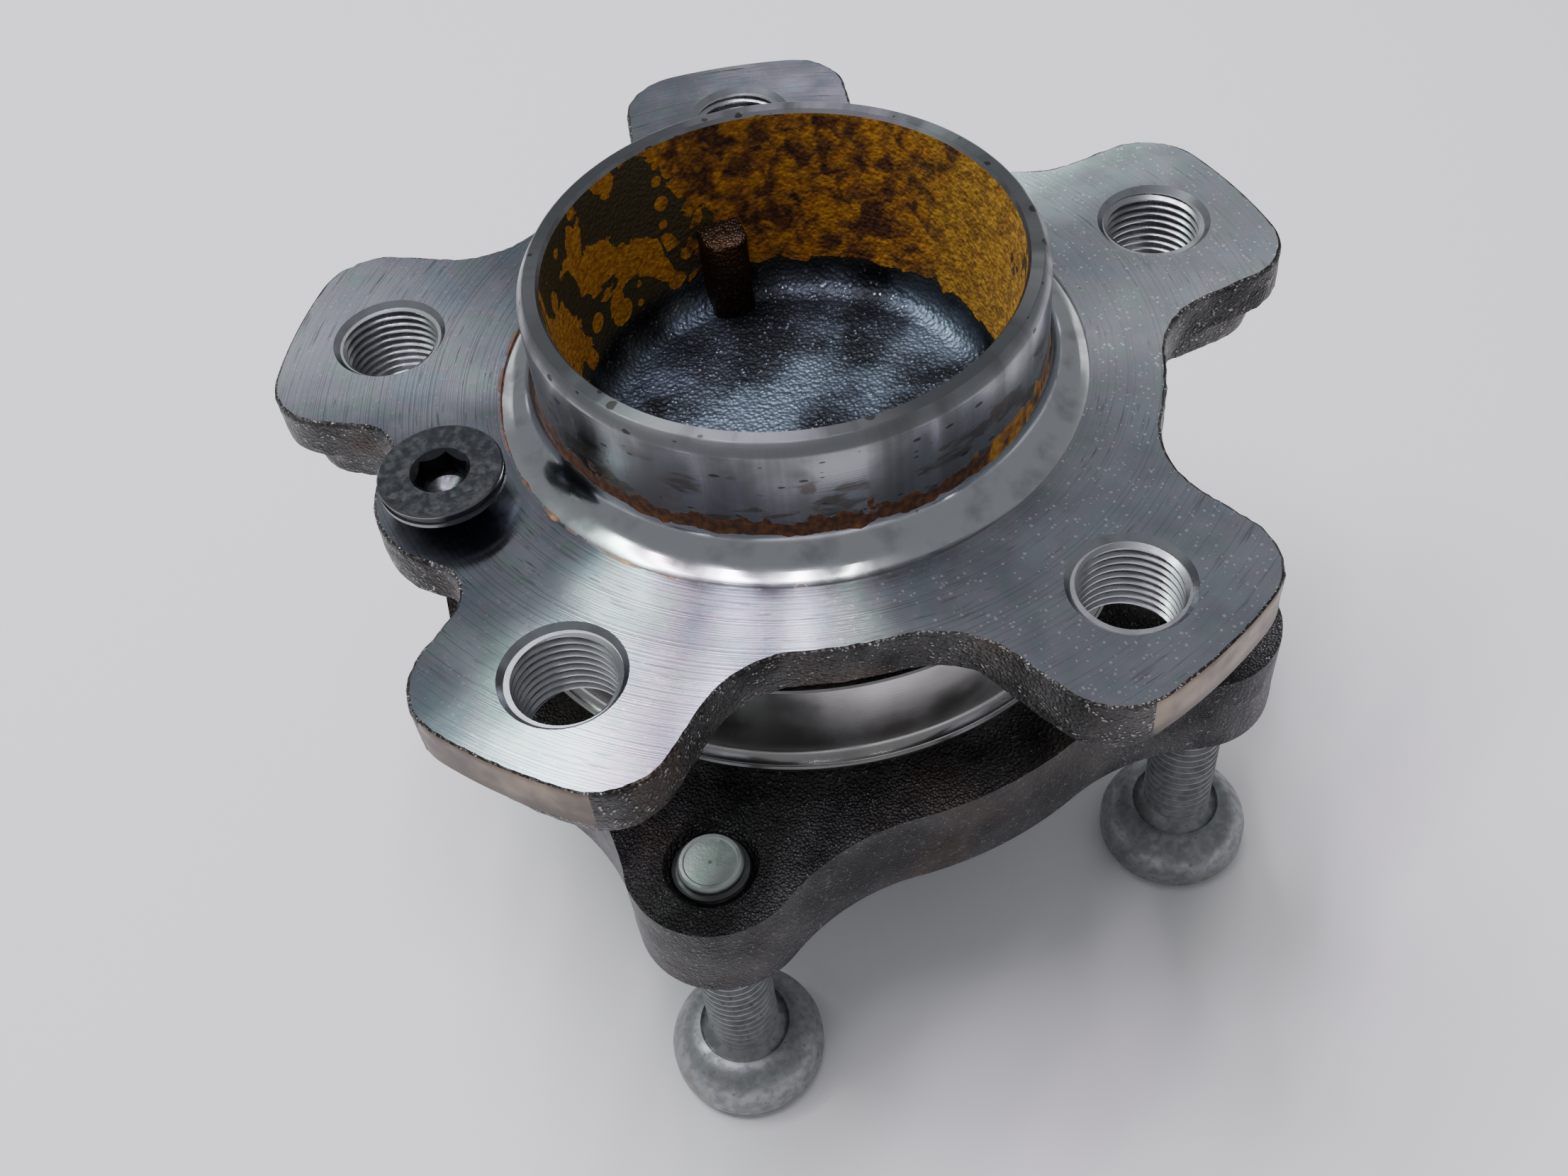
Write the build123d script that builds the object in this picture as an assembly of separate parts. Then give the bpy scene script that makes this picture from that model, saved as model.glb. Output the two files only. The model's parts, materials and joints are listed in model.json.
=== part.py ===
from build123d import *
import math
import os

# Wheel hub bearing for a wheel that is not driven.
# Millimetres. The hub axis is Z, +Z points out to the wheel, and z = 0 is the face the wheel sits on.
# Angles are in degrees about Z, from +X.

# Wheel flange
LUG_PCD = 112.0                 # wheel bolt circle
LUG_COUNT = 5                   # number of arms and wheel bolts
LUG_HOLE_R = 6.25               # drilled radius of the threaded wheel-bolt holes
LUG_CHAMFER = 1.45              # chamfer at the mouth of each wheel-bolt hole
ARM_END_WALL = 13.8             # from the wheel bolt circle to the turned ends of the arms
ARM_HALF_WIDTH = 17.0           # half the width of an arm
ARM_CORNER_R = 9.0              # rounding of the arm's two outer corners
VALLEY_DEPTH = 7.8              # from the wheel bolt circle in to the valleys between the arms
VALLEY_FILLET_R = 13.0          # hollow rounding from an arm into the valley
WEB_THICKNESS = 6.0             # flange thickness in the valleys
ARM_THICKNESS = 12.5            # flange thickness at the wheel bolts
ARM_INSET = 1.6                 # set-back of the forged arm below the turned rim
ARM_DRAFT = 9.0                 # forging draft on the sides of the arm
ARM_EDGE_R = 1.8                # rounding of the arm's lower edge
RIM_EDGE_R = 0.8                # rounding of the flange's upper forged edge
ROOT_THICKNESS = 10.0           # flange thickness near the hub's barrel
ROOT_FILLET_R = 2.5             # rounding between flange and seal land
ROOT_INSET = 1.5                # how far the turned root stays inside the valleys
HUB_TURN = -1.4                 # rest angle of the hub's first arm

# Ear with the brake disc screw
EAR_REACH = 9.0                 # how far the ear stands out past the valleys
EAR_BLEND = 4.81                # how far the ear's rounding runs into the arms beside it
EAR_NOTCH_R = 5.5               # hollow rounding between the ear and an arm
SCREW_EDGE = 9.4                # from the disc screw's middle to the ear's tip
SCREW_THREAD_R = 4.0            # thread radius of the disc screw
SCREW_LENGTH = 16.0             # length of the disc screw below its head
SCREW_END_CHAMFER = 0.7         # chamfer on the disc screw's end
SCREW_HEAD_WIDTH = 3.85         # how far the disc screw's head stands out past its thread
SCREW_RIM = 2.0                 # straight rim of the disc screw's head
SCREW_PROUD = 5.0               # height of the disc screw's top above the flange face
SCREW_SOCKET_AF = 6.0           # hexagon socket across flats
SCREW_SOCKET_DEPTH = 3.6        # depth of the hexagon socket
SCREW_TOP_CHAMFER = 0.4         # chamfer round the top of the disc screw
SCREW_SOCKET_CHAMFER = 0.25     # how far the socket's chamfer reaches past its corners

# Pilot and cup
PILOT_INSET = 22.75             # from the wheel bolt circle in to the pilot
PILOT_HEIGHT = 17.8             # height of the pilot above the wheel face
PILOT_LEAD_WIDTH = 0.95         # width of the lead-in chamfer
PILOT_LEAD_HEIGHT = 1.5         # height of the lead-in chamfer
PILOT_FOOT_R = 5.25             # hollow rounding at the pilot's foot
FOOT_RELIEF = 0.4               # depth of the relief ring under the wheel face
PILOT_WALL = 2.95               # wall of the pilot at its mouth
CUP_DRAFT = 1.9                 # how much narrower the cup is at its floor
CUP_FLOOR_WALL = 10.4           # from the wheel face down to the cup's floor
CUP_CORNER_R = 4.0              # rounding between the cup's wall and floor
RIB_WIDTH = 6.5                 # width of the forged rib inside the cup
RIB_REACH = 5.0                 # how far the rib stands in from the wall
RIB_HEIGHT = 12.8               # height of the rib above the floor
RIB_ANGLE = 85.0                # place of the rib round the cup
RIB_EDGE_R = 2.7                # rounding of the rib's upright edges
RIB_TOP_R = 1.3                 # rounding of the rib's top

# Bearing
BEARING_INSET = 24.0            # from the wheel bolt circle in to the ball circle
BALL_R = 6.35                   # half-inch balls
BALL_SPACE = 1.6                # least room between two balls of a row
CONTACT_ANGLE = 38.0            # contact angle of the balls
SHOULDER_SPREAD = 30.0          # how far a raceway runs on past the contact angle
ROW_SPACING = 22.3              # distance between the two rows
RACE_GAP = 0.25                 # clearance between ball and raceway
CAGE_GAP = 0.2                  # clearance between ball and cage pocket
CAGE_INSIDE = 1.8               # how far a cage reaches in from the ball circle
CAGE_OUTSIDE = 3.4              # how far a cage reaches out from the ball circle
CAGE_BACK = 8.0                 # from ball centre to the back of the cage
CAGE_FRONT = 2.8                # from ball centre to the open side of the cage
CAGE_END_GAP = 0.8              # from the back of a cage to the seal
OUTER_RELIEF = 0.1              # step from raceway to the ring's wider bore

# Spindle and inner ring
INNER_WALL = 5.9                # thinnest wall of the inner ring, from raceway to spindle
CLINCH_ROLL = 5.5               # how far the rolled-over end reaches out over the inner ring
CLINCH_HEIGHT = 4.4             # height of the rolled-over end
CLINCH_EDGE_R = 2.6             # rounding of the rolled-over end
CLINCH_WALL = 4.5               # wall between the spindle's seat and its dished recess
CLINCH_DISH_DRAFT = 3.6         # how much narrower that recess is at its floor
CLINCH_DISH_DEPTH = 6.0         # depth of that recess
SHOULDER_CHAMFER = 0.3          # chamfer of the shoulder against the inner ring
RING_CHAMFER = 0.4              # chamfers on the inner ring's back face
PRESS_GAP = 0.02                # gap left between pressed faces

# Outer ring
NOSE_WALL = 3.9                 # wall of the nose outside the raceway
NOSE_GAP = 2.0                  # from the wheel flange's underside to the nose
SEAL_BORE_STEP = 0.6            # how much wider the seals' bore is than the raceway
FLANGE_DROP = 4.5               # from the outboard row to the mounting flange's front face
FLANGE_THICKNESS = 14.0         # thickness of the mounting flange
FLANGE_STEP = 10.5              # from the nose out to the flange's edge between its lobes
FLANGE_WAVE_R = 30.0            # hollow rounding between the lobes
LOBE_R = 11.5                   # rounding of a lobe
LOBE_SETBACK = 1.5              # how far a lobe's centre lies inside its bolt
FRONT_EDGE_R = 3.0              # rounding of the mounting flange's front edge
BACK_EDGE_R = 1.5               # rounding of its back edge
NOSE_FILLET_R = 4.5             # rounding from the nose to the mounting flange
SPIGOT_WALL = 3.9               # wall outside the raceway where the unit is centred in the knuckle
TAIL_WALL = 2.6                 # wall outside the raceway behind the spigot
TAIL_LENGTH = 6.5               # length behind the spigot
TAIL_COVER = 2.9                # how far the tail reaches past the inner ring
SPIGOT_LEAD = 1.0               # chamfers on spigot and tail
UNDERCUT_WIDTH = 2.0            # relief groove at the spigot's foot
UNDERCUT_DEPTH = 0.6            # depth of the relief groove
NOSE_CHAMFER = 0.8              # chamfer round the nose's face
SEAL_BORE_LEAD = 0.5            # chamfer at the mouth of the seal bore
BORE_STEP = 0.6                 # slope from the seal bore to the raceway bore

# Deflector ring on the nose
DEFLECTOR_WALL = 0.8            # sheet thickness
DEFLECTOR_TOP = 2.0             # from the nose's face to the sheet's edge
DEFLECTOR_FLARE = 2.5           # how far the turned-out lip reaches past the nose
DEFLECTOR_LIFT = 2.3            # height of the lip's edge above the mounting flange

# Mounting bolts
BOLT_OUTSET = 5.0               # from the flange's edge between its lobes out to the bolts
BOLT_NEAR_ANGLE = 40.0          # each bolt's angle from the nearest end of the Y axis
BOLT_THREAD_R = 5.0             # thread radius
BOLT_HOLE_R = 4.25              # drilled radius of the threaded holes in the mounting flange
BOLT_LENGTH = 44.4              # from the thread's end to the head
BOLT_PROUD = 1.0                # how far the thread's end stands out of the flange
BOLT_HOLE_CHAMFER = 1.0         # how far the chamfered mouths of those holes reach past the thread
BOLT_COLLAR = 1.0               # width of the collar where the shank meets the head
BOLT_HEAD_WIDTH = 6.0           # how far the head stands out past the shank
BOLT_DOME = 5.2                 # height of the domed seat
BOLT_DOME_R = 6.1               # radius that a section of the dome follows
BOLT_SKIRT = 2.1                # straight height of the head
BOLT_HEAD_EDGE_R = 2.2          # rounding under the head
BOLT_SOCKET_AF = 10.0           # hexagon socket across flats
BOLT_SOCKET_DEPTH = 6.0         # depth of the hexagon socket
THREAD_GAP = 0.05               # gap between a plain shank and its plain hole

# Seals, encoder and cap
SHEET = 0.7                     # thickness of the pressed rings
SEAL_GAP = 0.3                  # running gap between a lip and what turns past it
SEAL_LAND_STEP = 1.0            # how far the hub's seal land lies outside the ball circle
SEAL_DEPTH = 5.3                # axial depth of a seal case
SEAL_INSET = 0.4                # seal case below the ring's face
CASE_REACH = 3.4                # how far a case's radial leg reaches in
LIP_BODY = 1.6                  # thickness of the rubber behind the lips
LIP_WIDTH = 0.9                 # thickness of a rubber lip
LIP_LEAN = 0.45                 # how far the side lip leans outwards
LIP_ROOM = 0.2                  # room between the side lip's tip and the case
ENCODER_WALL = 1.0              # thickness of the magnetised ring
ENCODER_GAP = 1.6               # from the magnetised ring out to the bore
ENCODER_BAND = 6.6              # width of the magnetised ring
CAP_WALL = 0.8                  # sheet thickness of the end cap
CAP_GAP = 1.0                   # from the spindle end to the cap
CAP_PRESS = 3.3                 # press length of the cap
CAP_RIM_DROP = 0.5              # how far the cap's flat rim stands below the outer ring
CAP_CROWN_GAP = 4.0             # from the rolled-over end out to the cap's raised middle
CAP_CORNER_R = 1.2              # rounding of the cap's outer corners
CAP_FOOT_R = 0.8                # hollow rounding at the foot of the raised middle

# Working allowances
PAST = 1.0                      # how far a cutter runs past the face it cuts, or a fillet into its wall
NEAR = 0.6                      # how close to a radius a corner counts as lying on it
SAME = 0.01                     # how close two heights count as equal

# Radii worked out from the values above
LUG_R = LUG_PCD / 2
ARM_REACH_R = LUG_R + ARM_END_WALL
VALLEY_R = LUG_R - VALLEY_DEPTH
EAR_REACH_R = VALLEY_R + EAR_REACH
EAR_SPREAD = math.sin(math.radians(180 / LUG_COUNT))
EAR_R = (EAR_REACH_R * EAR_SPREAD - ARM_HALF_WIDTH + EAR_BLEND) / (1 + EAR_SPREAD)
SCREW_CIRCLE_R = EAR_REACH_R - SCREW_EDGE
SCREW_HEAD_R = SCREW_THREAD_R + SCREW_HEAD_WIDTH
PILOT_R = LUG_R - PILOT_INSET
CUP_MOUTH_R = PILOT_R - PILOT_WALL
CUP_FLOOR_R = CUP_MOUTH_R - CUP_DRAFT
PITCH_R = LUG_R - BEARING_INSET
BALL_COUNT = math.floor(2 * math.pi * PITCH_R / (2 * BALL_R + BALL_SPACE))
GROOVE_R = BALL_R + RACE_GAP
RACE_BOTTOM_R = PITCH_R - GROOVE_R
RACE_TOP_R = PITCH_R + GROOVE_R
SHOULDER = GROOVE_R * math.cos(math.radians(CONTACT_ANGLE + SHOULDER_SPREAD))
INNER_LAND_R = PITCH_R - SHOULDER
OUTER_LAND_R = PITCH_R + SHOULDER
CAGE_INNER_R = PITCH_R - CAGE_INSIDE
CAGE_OUTER_R = PITCH_R + CAGE_OUTSIDE
SEAL_LAND_R = PITCH_R + SEAL_LAND_STEP
SEAL_BORE_R = RACE_TOP_R + SEAL_BORE_STEP
NOSE_R = RACE_TOP_R + NOSE_WALL
SPIGOT_R = RACE_TOP_R + SPIGOT_WALL
TAIL_R = RACE_TOP_R + TAIL_WALL
SPINDLE_R = RACE_BOTTOM_R - INNER_WALL
CLINCH_R = SPINDLE_R + CLINCH_ROLL
CLINCH_DISH_R = SPINDLE_R - CLINCH_WALL
DEFLECTOR_LIP_R = NOSE_R + DEFLECTOR_FLARE
FLANGE_BODY_R = NOSE_R + FLANGE_STEP
BOLT_CIRCLE_R = FLANGE_BODY_R + BOLT_OUTSET
LOBE_CIRCLE_R = BOLT_CIRCLE_R - LOBE_SETBACK
BOLT_CORE_R = BOLT_HOLE_R - THREAD_GAP
BOLT_COLLAR_R = BOLT_THREAD_R + BOLT_COLLAR
BOLT_HEAD_R = BOLT_THREAD_R + BOLT_HEAD_WIDTH
ENCODER_OUTER_R = SEAL_BORE_R - ENCODER_GAP
ENCODER_INNER_R = ENCODER_OUTER_R - ENCODER_BAND
CAP_CROWN_R = CLINCH_R + CAP_CROWN_GAP

# Heights worked out from the values above, from the wheel face down
NOSE_Z = -ROOT_THICKNESS - NOSE_GAP
SEAL_LAND_END_Z = NOSE_Z - SEAL_INSET - SEAL_DEPTH
OUTBOARD_Z = SEAL_LAND_END_Z - CAGE_END_GAP - CAGE_BACK
INBOARD_Z = OUTBOARD_Z - ROW_SPACING
SPLIT_Z = (OUTBOARD_Z + INBOARD_Z) / 2
INBOARD_SEAL_Z = INBOARD_Z - CAGE_BACK - CAGE_END_GAP
INBOARD_MOUTH_Z = INBOARD_SEAL_Z - SEAL_DEPTH
INNER_BACK_Z = INBOARD_MOUTH_Z - SHEET
CLINCH_END_Z = INNER_BACK_Z - CLINCH_HEIGHT
FLANGE_FRONT_Z = OUTBOARD_Z - FLANGE_DROP
FLANGE_BACK_Z = FLANGE_FRONT_Z - FLANGE_THICKNESS
DEFLECTOR_LIP_Z = FLANGE_FRONT_Z + DEFLECTOR_LIFT
TAIL_END_Z = INNER_BACK_Z - TAIL_COVER
SPIGOT_END_Z = TAIL_END_Z + TAIL_LENGTH
BOLT_END_Z = FLANGE_FRONT_Z + BOLT_PROUD
BOLT_SEAT_Z = BOLT_END_Z - BOLT_LENGTH
BOLT_BOTTOM_Z = BOLT_SEAT_Z - BOLT_DOME - BOLT_SKIRT - BOLT_HEAD_EDGE_R
CAP_END_Z = CLINCH_END_Z - CAP_GAP - CAP_WALL
CAP_RIM_Z = TAIL_END_Z - CAP_RIM_DROP


def turned(points):
    """A solid of revolution about Z from its half section, given as (radius, height) points."""
    return revolve(Plane.XZ * make_face(Polyline(points, close=True)), Axis.Z)


def disc(radius, bottom, top):
    """A plain disc about Z between two heights."""
    return Pos(0, 0, bottom) * Cylinder(radius, top - bottom, align=(Align.CENTER, Align.CENTER, Align.MIN))


def tube(outer, inner, bottom, top):
    """A plain ring about Z between two heights."""
    return disc(outer, bottom, top) - disc(inner, bottom - PAST, top + PAST)


def raceway(height):
    """The torus that a ball row sweeps, with the raceway clearance."""
    return Pos(0, 0, height) * Torus(PITCH_R, GROOVE_R)


def polar(radius, angle):
    """A place at a radius and an angle about Z."""
    return Pos(radius * math.cos(math.radians(angle)), radius * math.sin(math.radians(angle)), 0)


def lug_angles():
    """Angles of the arms, before the hub is turned to its rest place."""
    return [index * 360 / LUG_COUNT for index in range(LUG_COUNT)]


def bolt_angles():
    """Angles of the four mounting bolts, two beside each end of the Y axis."""
    near = BOLT_NEAR_ANGLE
    return [-90 - near, -90 + near, 90 - near, 90 + near]


def corners_near(sketch, radius):
    """The corners of a sketch that lie at a radius from the axis."""
    return [corner for corner in sketch.vertices() if abs(math.hypot(corner.X, corner.Y) - radius) < NEAR]


def arm_outline(half_width, reach, corner):
    """One arm of the flange along X, with a turned end and rounded corners."""
    length = reach + PAST
    bar = Pos(length / 2, 0) * Rectangle(length, 2 * half_width)
    arm = bar & Circle(reach)
    return fillet(corners_near(arm, reach), corner)


def flange_outline():
    """The five-armed star with the ear for the brake disc screw."""
    beside_ear = -VALLEY_R * math.cos(math.radians(180 / LUG_COUNT))
    star = Circle(VALLEY_R) & Pos(beside_ear + VALLEY_R, 0) * Rectangle(2 * VALLEY_R, 2 * VALLEY_R)
    for angle in lug_angles():
        star += Rot(0, 0, angle) * arm_outline(ARM_HALF_WIDTH, ARM_REACH_R, ARM_CORNER_R)
    valleys = [corner for corner in corners_near(star, VALLEY_R) if corner.X > beside_ear]
    star = fillet(valleys, VALLEY_FILLET_R)
    star += Pos(EAR_R - EAR_REACH_R, 0) * Circle(EAR_R)
    tip = Vertex(-EAR_REACH_R, 0, 0)
    notches = sorted(star.vertices(), key=lambda corner: corner.distance_to(tip))[:2]
    return fillet(notches, EAR_NOTCH_R)


def flange_plate():
    """The flange between root and rim, as thick as the valleys, with its forged upper edge rounded."""
    plate = extrude(Pos(0, 0, -WEB_THICKNESS) * flange_outline(), WEB_THICKNESS)
    rim = [edge for edge in plate.edges().filter_by(Plane.XY) if edge.center().Z > -WEB_THICKNESS / 2]
    forged = [edge for edge in rim if math.hypot(edge.center().X, edge.center().Y) < ARM_REACH_R - PAST]
    return fillet(forged, RIM_EDGE_R)


def arm_boss():
    """The thick forged part of one arm under the turned rim, drafted and rounded below."""
    half_width = ARM_HALF_WIDTH - ARM_INSET
    outline = arm_outline(half_width, ARM_REACH_R - ARM_INSET, ARM_CORNER_R)
    outline -= Circle(NOSE_R + NOSE_GAP)
    depth = ARM_THICKNESS - WEB_THICKNESS
    boss = extrude(Pos(0, 0, -WEB_THICKNESS) * outline, -depth, taper=ARM_DRAFT)
    lower = [edge for edge in boss.edges().filter_by(Plane.XY) if edge.center().Z < -WEB_THICKNESS - SAME]
    return fillet(lower, ARM_EDGE_R)


def lug_hole():
    """The cutter for one wheel-bolt hole, chamfered at both mouths."""
    low = -ARM_THICKNESS - PAST
    mouth_r = LUG_HOLE_R + LUG_CHAMFER
    hole = disc(LUG_HOLE_R, low, PAST)
    hole += turned([(0, -mouth_r), (mouth_r + PAST, PAST), (0, PAST)])
    return hole + turned([(0, mouth_r - ARM_THICKNESS), (mouth_r + PAST, low), (0, low)])


def screw_seat():
    """The cutter for the threaded hole and countersink of the brake disc screw."""
    hole = disc(SCREW_THREAD_R + THREAD_GAP, -ARM_THICKNESS - PAST, PAST)
    rim_r = SCREW_HEAD_R - (SCREW_PROUD - SCREW_RIM) + THREAD_GAP
    return hole + turned([(0, -rim_r), (rim_r + PAST, PAST), (0, PAST)])


def hub_core():
    """The turned body of the hub: flange root, pilot, barrel, inner race and spindle."""
    lead_r = PILOT_R - PILOT_LEAD_WIDTH
    lead_z = PILOT_HEIGHT - PILOT_LEAD_HEIGHT
    foot_r = PILOT_R + PILOT_FOOT_R
    foot_z = PILOT_FOOT_R - FOOT_RELIEF
    root_r = VALLEY_R - ROOT_INSET
    profile = [
        (0, CLINCH_END_Z),
        (SPINDLE_R, CLINCH_END_Z),
        (SPINDLE_R, SPLIT_Z),
        (RACE_BOTTOM_R - SHOULDER_CHAMFER, SPLIT_Z),
        (RACE_BOTTOM_R, SPLIT_Z + SHOULDER_CHAMFER),
        (RACE_BOTTOM_R, OUTBOARD_Z),
        (INNER_LAND_R, OUTBOARD_Z),
        (INNER_LAND_R, SEAL_LAND_END_Z),
        (SEAL_LAND_R, SEAL_LAND_END_Z),
        (SEAL_LAND_R, -ROOT_THICKNESS),
        (NOSE_R, -ROOT_THICKNESS),
        (root_r, -WEB_THICKNESS),
        (root_r, 0),
        (foot_r, 0),
        (foot_r, -FOOT_RELIEF),
        (PILOT_R, -FOOT_RELIEF),
        (PILOT_R, lead_z),
        (lead_r, PILOT_HEIGHT),
        (0, PILOT_HEIGHT),
    ]
    foot = tube(foot_r, PILOT_R - PAST, -FOOT_RELIEF, foot_z)
    foot -= Pos(0, 0, foot_z) * Torus(foot_r, PILOT_FOOT_R)
    return turned(profile) + foot


def root_fillet():
    """The rounding between the seal land and the flange's underside."""
    outer = SEAL_LAND_R + ROOT_FILLET_R
    bottom = -ROOT_THICKNESS - ROOT_FILLET_R
    ring = tube(outer, SEAL_LAND_R - PAST, bottom, -ROOT_THICKNESS)
    return ring - Pos(0, 0, bottom) * Torus(outer, ROOT_FILLET_R)


def cup():
    """The cutter for the cup inside the pilot, with its drafted wall and rounded corner."""
    hollow = turned([
        (0, -CUP_FLOOR_WALL),
        (CUP_FLOOR_R, -CUP_FLOOR_WALL),
        (CUP_MOUTH_R, PILOT_HEIGHT),
        (CUP_MOUTH_R, PILOT_HEIGHT + PAST),
        (0, PILOT_HEIGHT + PAST),
    ])
    floor_edge = hollow.edges().sort_by(Axis.Z)[0]
    return fillet(floor_edge, CUP_CORNER_R)


def cup_rib():
    """The forged rib that stands on the cup's floor against its wall."""
    wall = PILOT_R - PAST
    inner = CUP_FLOOR_R - RIB_REACH
    outline = Pos((wall + inner) / 2, 0) * Rectangle(wall - inner, RIB_WIDTH)
    outline = fillet(outline.vertices().sort_by(Axis.X)[:2], RIB_EDGE_R)
    bottom = -CUP_FLOOR_WALL - PAST
    rib = extrude(Pos(0, 0, bottom) * outline, RIB_HEIGHT + PAST)
    rib = fillet(rib.faces().sort_by(Axis.Z)[-1].edges(), RIB_TOP_R)
    return Rot(0, 0, RIB_ANGLE) * (rib & disc(wall, bottom, PILOT_HEIGHT))


def clinch():
    """The spindle end, rolled out over the inner ring and dished in the middle."""
    collar = disc(CLINCH_R, CLINCH_END_Z, INNER_BACK_Z)
    collar = fillet(collar.edges().sort_by(Axis.Z)[0], CLINCH_EDGE_R)
    floor_z = CLINCH_END_Z + CLINCH_DISH_DEPTH
    dish = turned([
        (0, CLINCH_END_Z - PAST),
        (CLINCH_DISH_R, CLINCH_END_Z - PAST),
        (CLINCH_DISH_R, CLINCH_END_Z),
        (CLINCH_DISH_R - CLINCH_DISH_DRAFT, floor_z),
        (0, floor_z),
    ])
    return collar, dish


def wheel_hub():
    """The rotating forging: flange, pilot, cup, barrel, outboard inner raceway and spindle."""
    hub = hub_core() + flange_plate() + root_fillet()
    for angle in lug_angles():
        hub += Rot(0, 0, angle) * arm_boss()
    hub -= cup()
    hub += cup_rib()
    collar, dish = clinch()
    hub = hub + collar - dish - raceway(OUTBOARD_Z)
    for angle in lug_angles():
        hub -= Rot(0, 0, angle) * Pos(LUG_R, 0, 0) * lug_hole()
    return hub - Pos(-SCREW_CIRCLE_R, 0, 0) * screw_seat()


def hexagon(across_flats, depth):
    """A hexagonal prism that rises from z = 0."""
    return extrude(RegularPolygon(across_flats / 2, 6, major_radius=False), depth)


def brake_disc_screw():
    """Countersunk socket screw, standing on its cone in the ear of the flange."""
    rim_z = SCREW_PROUD - SCREW_RIM
    cone = SCREW_HEAD_R - SCREW_THREAD_R
    end_z = rim_z - SCREW_LENGTH
    screw = turned([
        (0, end_z),
        (SCREW_THREAD_R - SCREW_END_CHAMFER, end_z),
        (SCREW_THREAD_R, end_z + SCREW_END_CHAMFER),
        (SCREW_THREAD_R, rim_z - cone),
        (SCREW_HEAD_R, rim_z),
        (SCREW_HEAD_R, SCREW_PROUD - SCREW_TOP_CHAMFER),
        (SCREW_HEAD_R - SCREW_TOP_CHAMFER, SCREW_PROUD),
        (0, SCREW_PROUD),
    ])
    top = SCREW_PROUD + PAST
    mouth_r = SCREW_SOCKET_AF / 2 / math.cos(math.radians(30)) + SCREW_SOCKET_CHAMFER
    screw -= Pos(0, 0, SCREW_PROUD - SCREW_SOCKET_DEPTH) * hexagon(SCREW_SOCKET_AF, SCREW_SOCKET_DEPTH + PAST)
    screw -= turned([(0, SCREW_PROUD - mouth_r), (mouth_r + PAST, top), (0, top)])
    return Pos(-SCREW_CIRCLE_R, 0, 0) * screw


def inner_ring():
    """The separate inboard inner race, pressed on the spindle against the hub's shoulder."""
    bore = SPINDLE_R + PRESS_GAP
    ring = turned([
        (bore, SPLIT_Z),
        (bore, INNER_BACK_Z),
        (INNER_LAND_R, INNER_BACK_Z),
        (INNER_LAND_R, INBOARD_Z),
        (RACE_BOTTOM_R, INBOARD_Z),
        (RACE_BOTTOM_R, SPLIT_Z),
    ])
    ends = [edge for edge in ring.edges() if abs(edge.center().Z - INNER_BACK_Z) < SAME]
    return chamfer(ends, RING_CHAMFER) - raceway(INBOARD_Z)


def flange_lobes():
    """The outline of the mounting flange: four lobes joined by hollow waves."""
    outline = Circle(FLANGE_BODY_R)
    for angle in bolt_angles():
        outline += polar(LOBE_CIRCLE_R, angle) * Circle(LOBE_R)
    return fillet(corners_near(outline, FLANGE_BODY_R), FLANGE_WAVE_R)


def mounting_flange():
    """The forged four-lobed flange that bolts to the knuckle."""
    flange = extrude(Pos(0, 0, FLANGE_BACK_Z) * flange_lobes(), FLANGE_THICKNESS)
    level = flange.edges().filter_by(Plane.XY)
    flange = fillet([edge for edge in level if edge.center().Z > FLANGE_BACK_Z + SAME], FRONT_EDGE_R)
    level = flange.edges().filter_by(Plane.XY)
    return fillet([edge for edge in level if edge.center().Z < FLANGE_BACK_Z + SAME], BACK_EDGE_R)


def ring_body():
    """The turned body of the outer ring: nose, raceway bore and spigot."""
    tail_lead = TAIL_R - SPIGOT_LEAD
    spigot_lead = SPIGOT_R - SPIGOT_LEAD
    foot_z = FLANGE_BACK_Z - UNDERCUT_WIDTH
    groove = SPIGOT_R - UNDERCUT_DEPTH
    return turned([
        (OUTER_LAND_R, OUTBOARD_Z),
        (RACE_TOP_R + OUTER_RELIEF, OUTBOARD_Z),
        (RACE_TOP_R + OUTER_RELIEF, SEAL_LAND_END_Z - BORE_STEP),
        (SEAL_BORE_R, SEAL_LAND_END_Z),
        (SEAL_BORE_R, NOSE_Z - SEAL_BORE_LEAD),
        (SEAL_BORE_R + SEAL_BORE_LEAD, NOSE_Z),
        (NOSE_R - NOSE_CHAMFER, NOSE_Z),
        (NOSE_R, NOSE_Z - NOSE_CHAMFER),
        (NOSE_R, FLANGE_BACK_Z),
        (groove, FLANGE_BACK_Z),
        (groove, foot_z),
        (SPIGOT_R, foot_z - UNDERCUT_DEPTH),
        (SPIGOT_R, SPIGOT_END_Z + SPIGOT_LEAD),
        (spigot_lead, SPIGOT_END_Z),
        (TAIL_R, SPIGOT_END_Z),
        (TAIL_R, TAIL_END_Z + SPIGOT_LEAD),
        (tail_lead, TAIL_END_Z),
        (SEAL_BORE_R, TAIL_END_Z),
        (SEAL_BORE_R, INBOARD_SEAL_Z),
        (RACE_TOP_R + OUTER_RELIEF, INBOARD_SEAL_Z + BORE_STEP),
        (RACE_TOP_R + OUTER_RELIEF, INBOARD_Z),
        (OUTER_LAND_R, INBOARD_Z),
    ])


def nose_fillet():
    """The rounding from the nose down to the front of the mounting flange."""
    outer = NOSE_R + NOSE_FILLET_R
    top = FLANGE_FRONT_Z + NOSE_FILLET_R
    ring = tube(outer, NOSE_R - PAST, FLANGE_FRONT_Z, top)
    return ring - Pos(0, 0, top) * Torus(outer, NOSE_FILLET_R)


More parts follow.
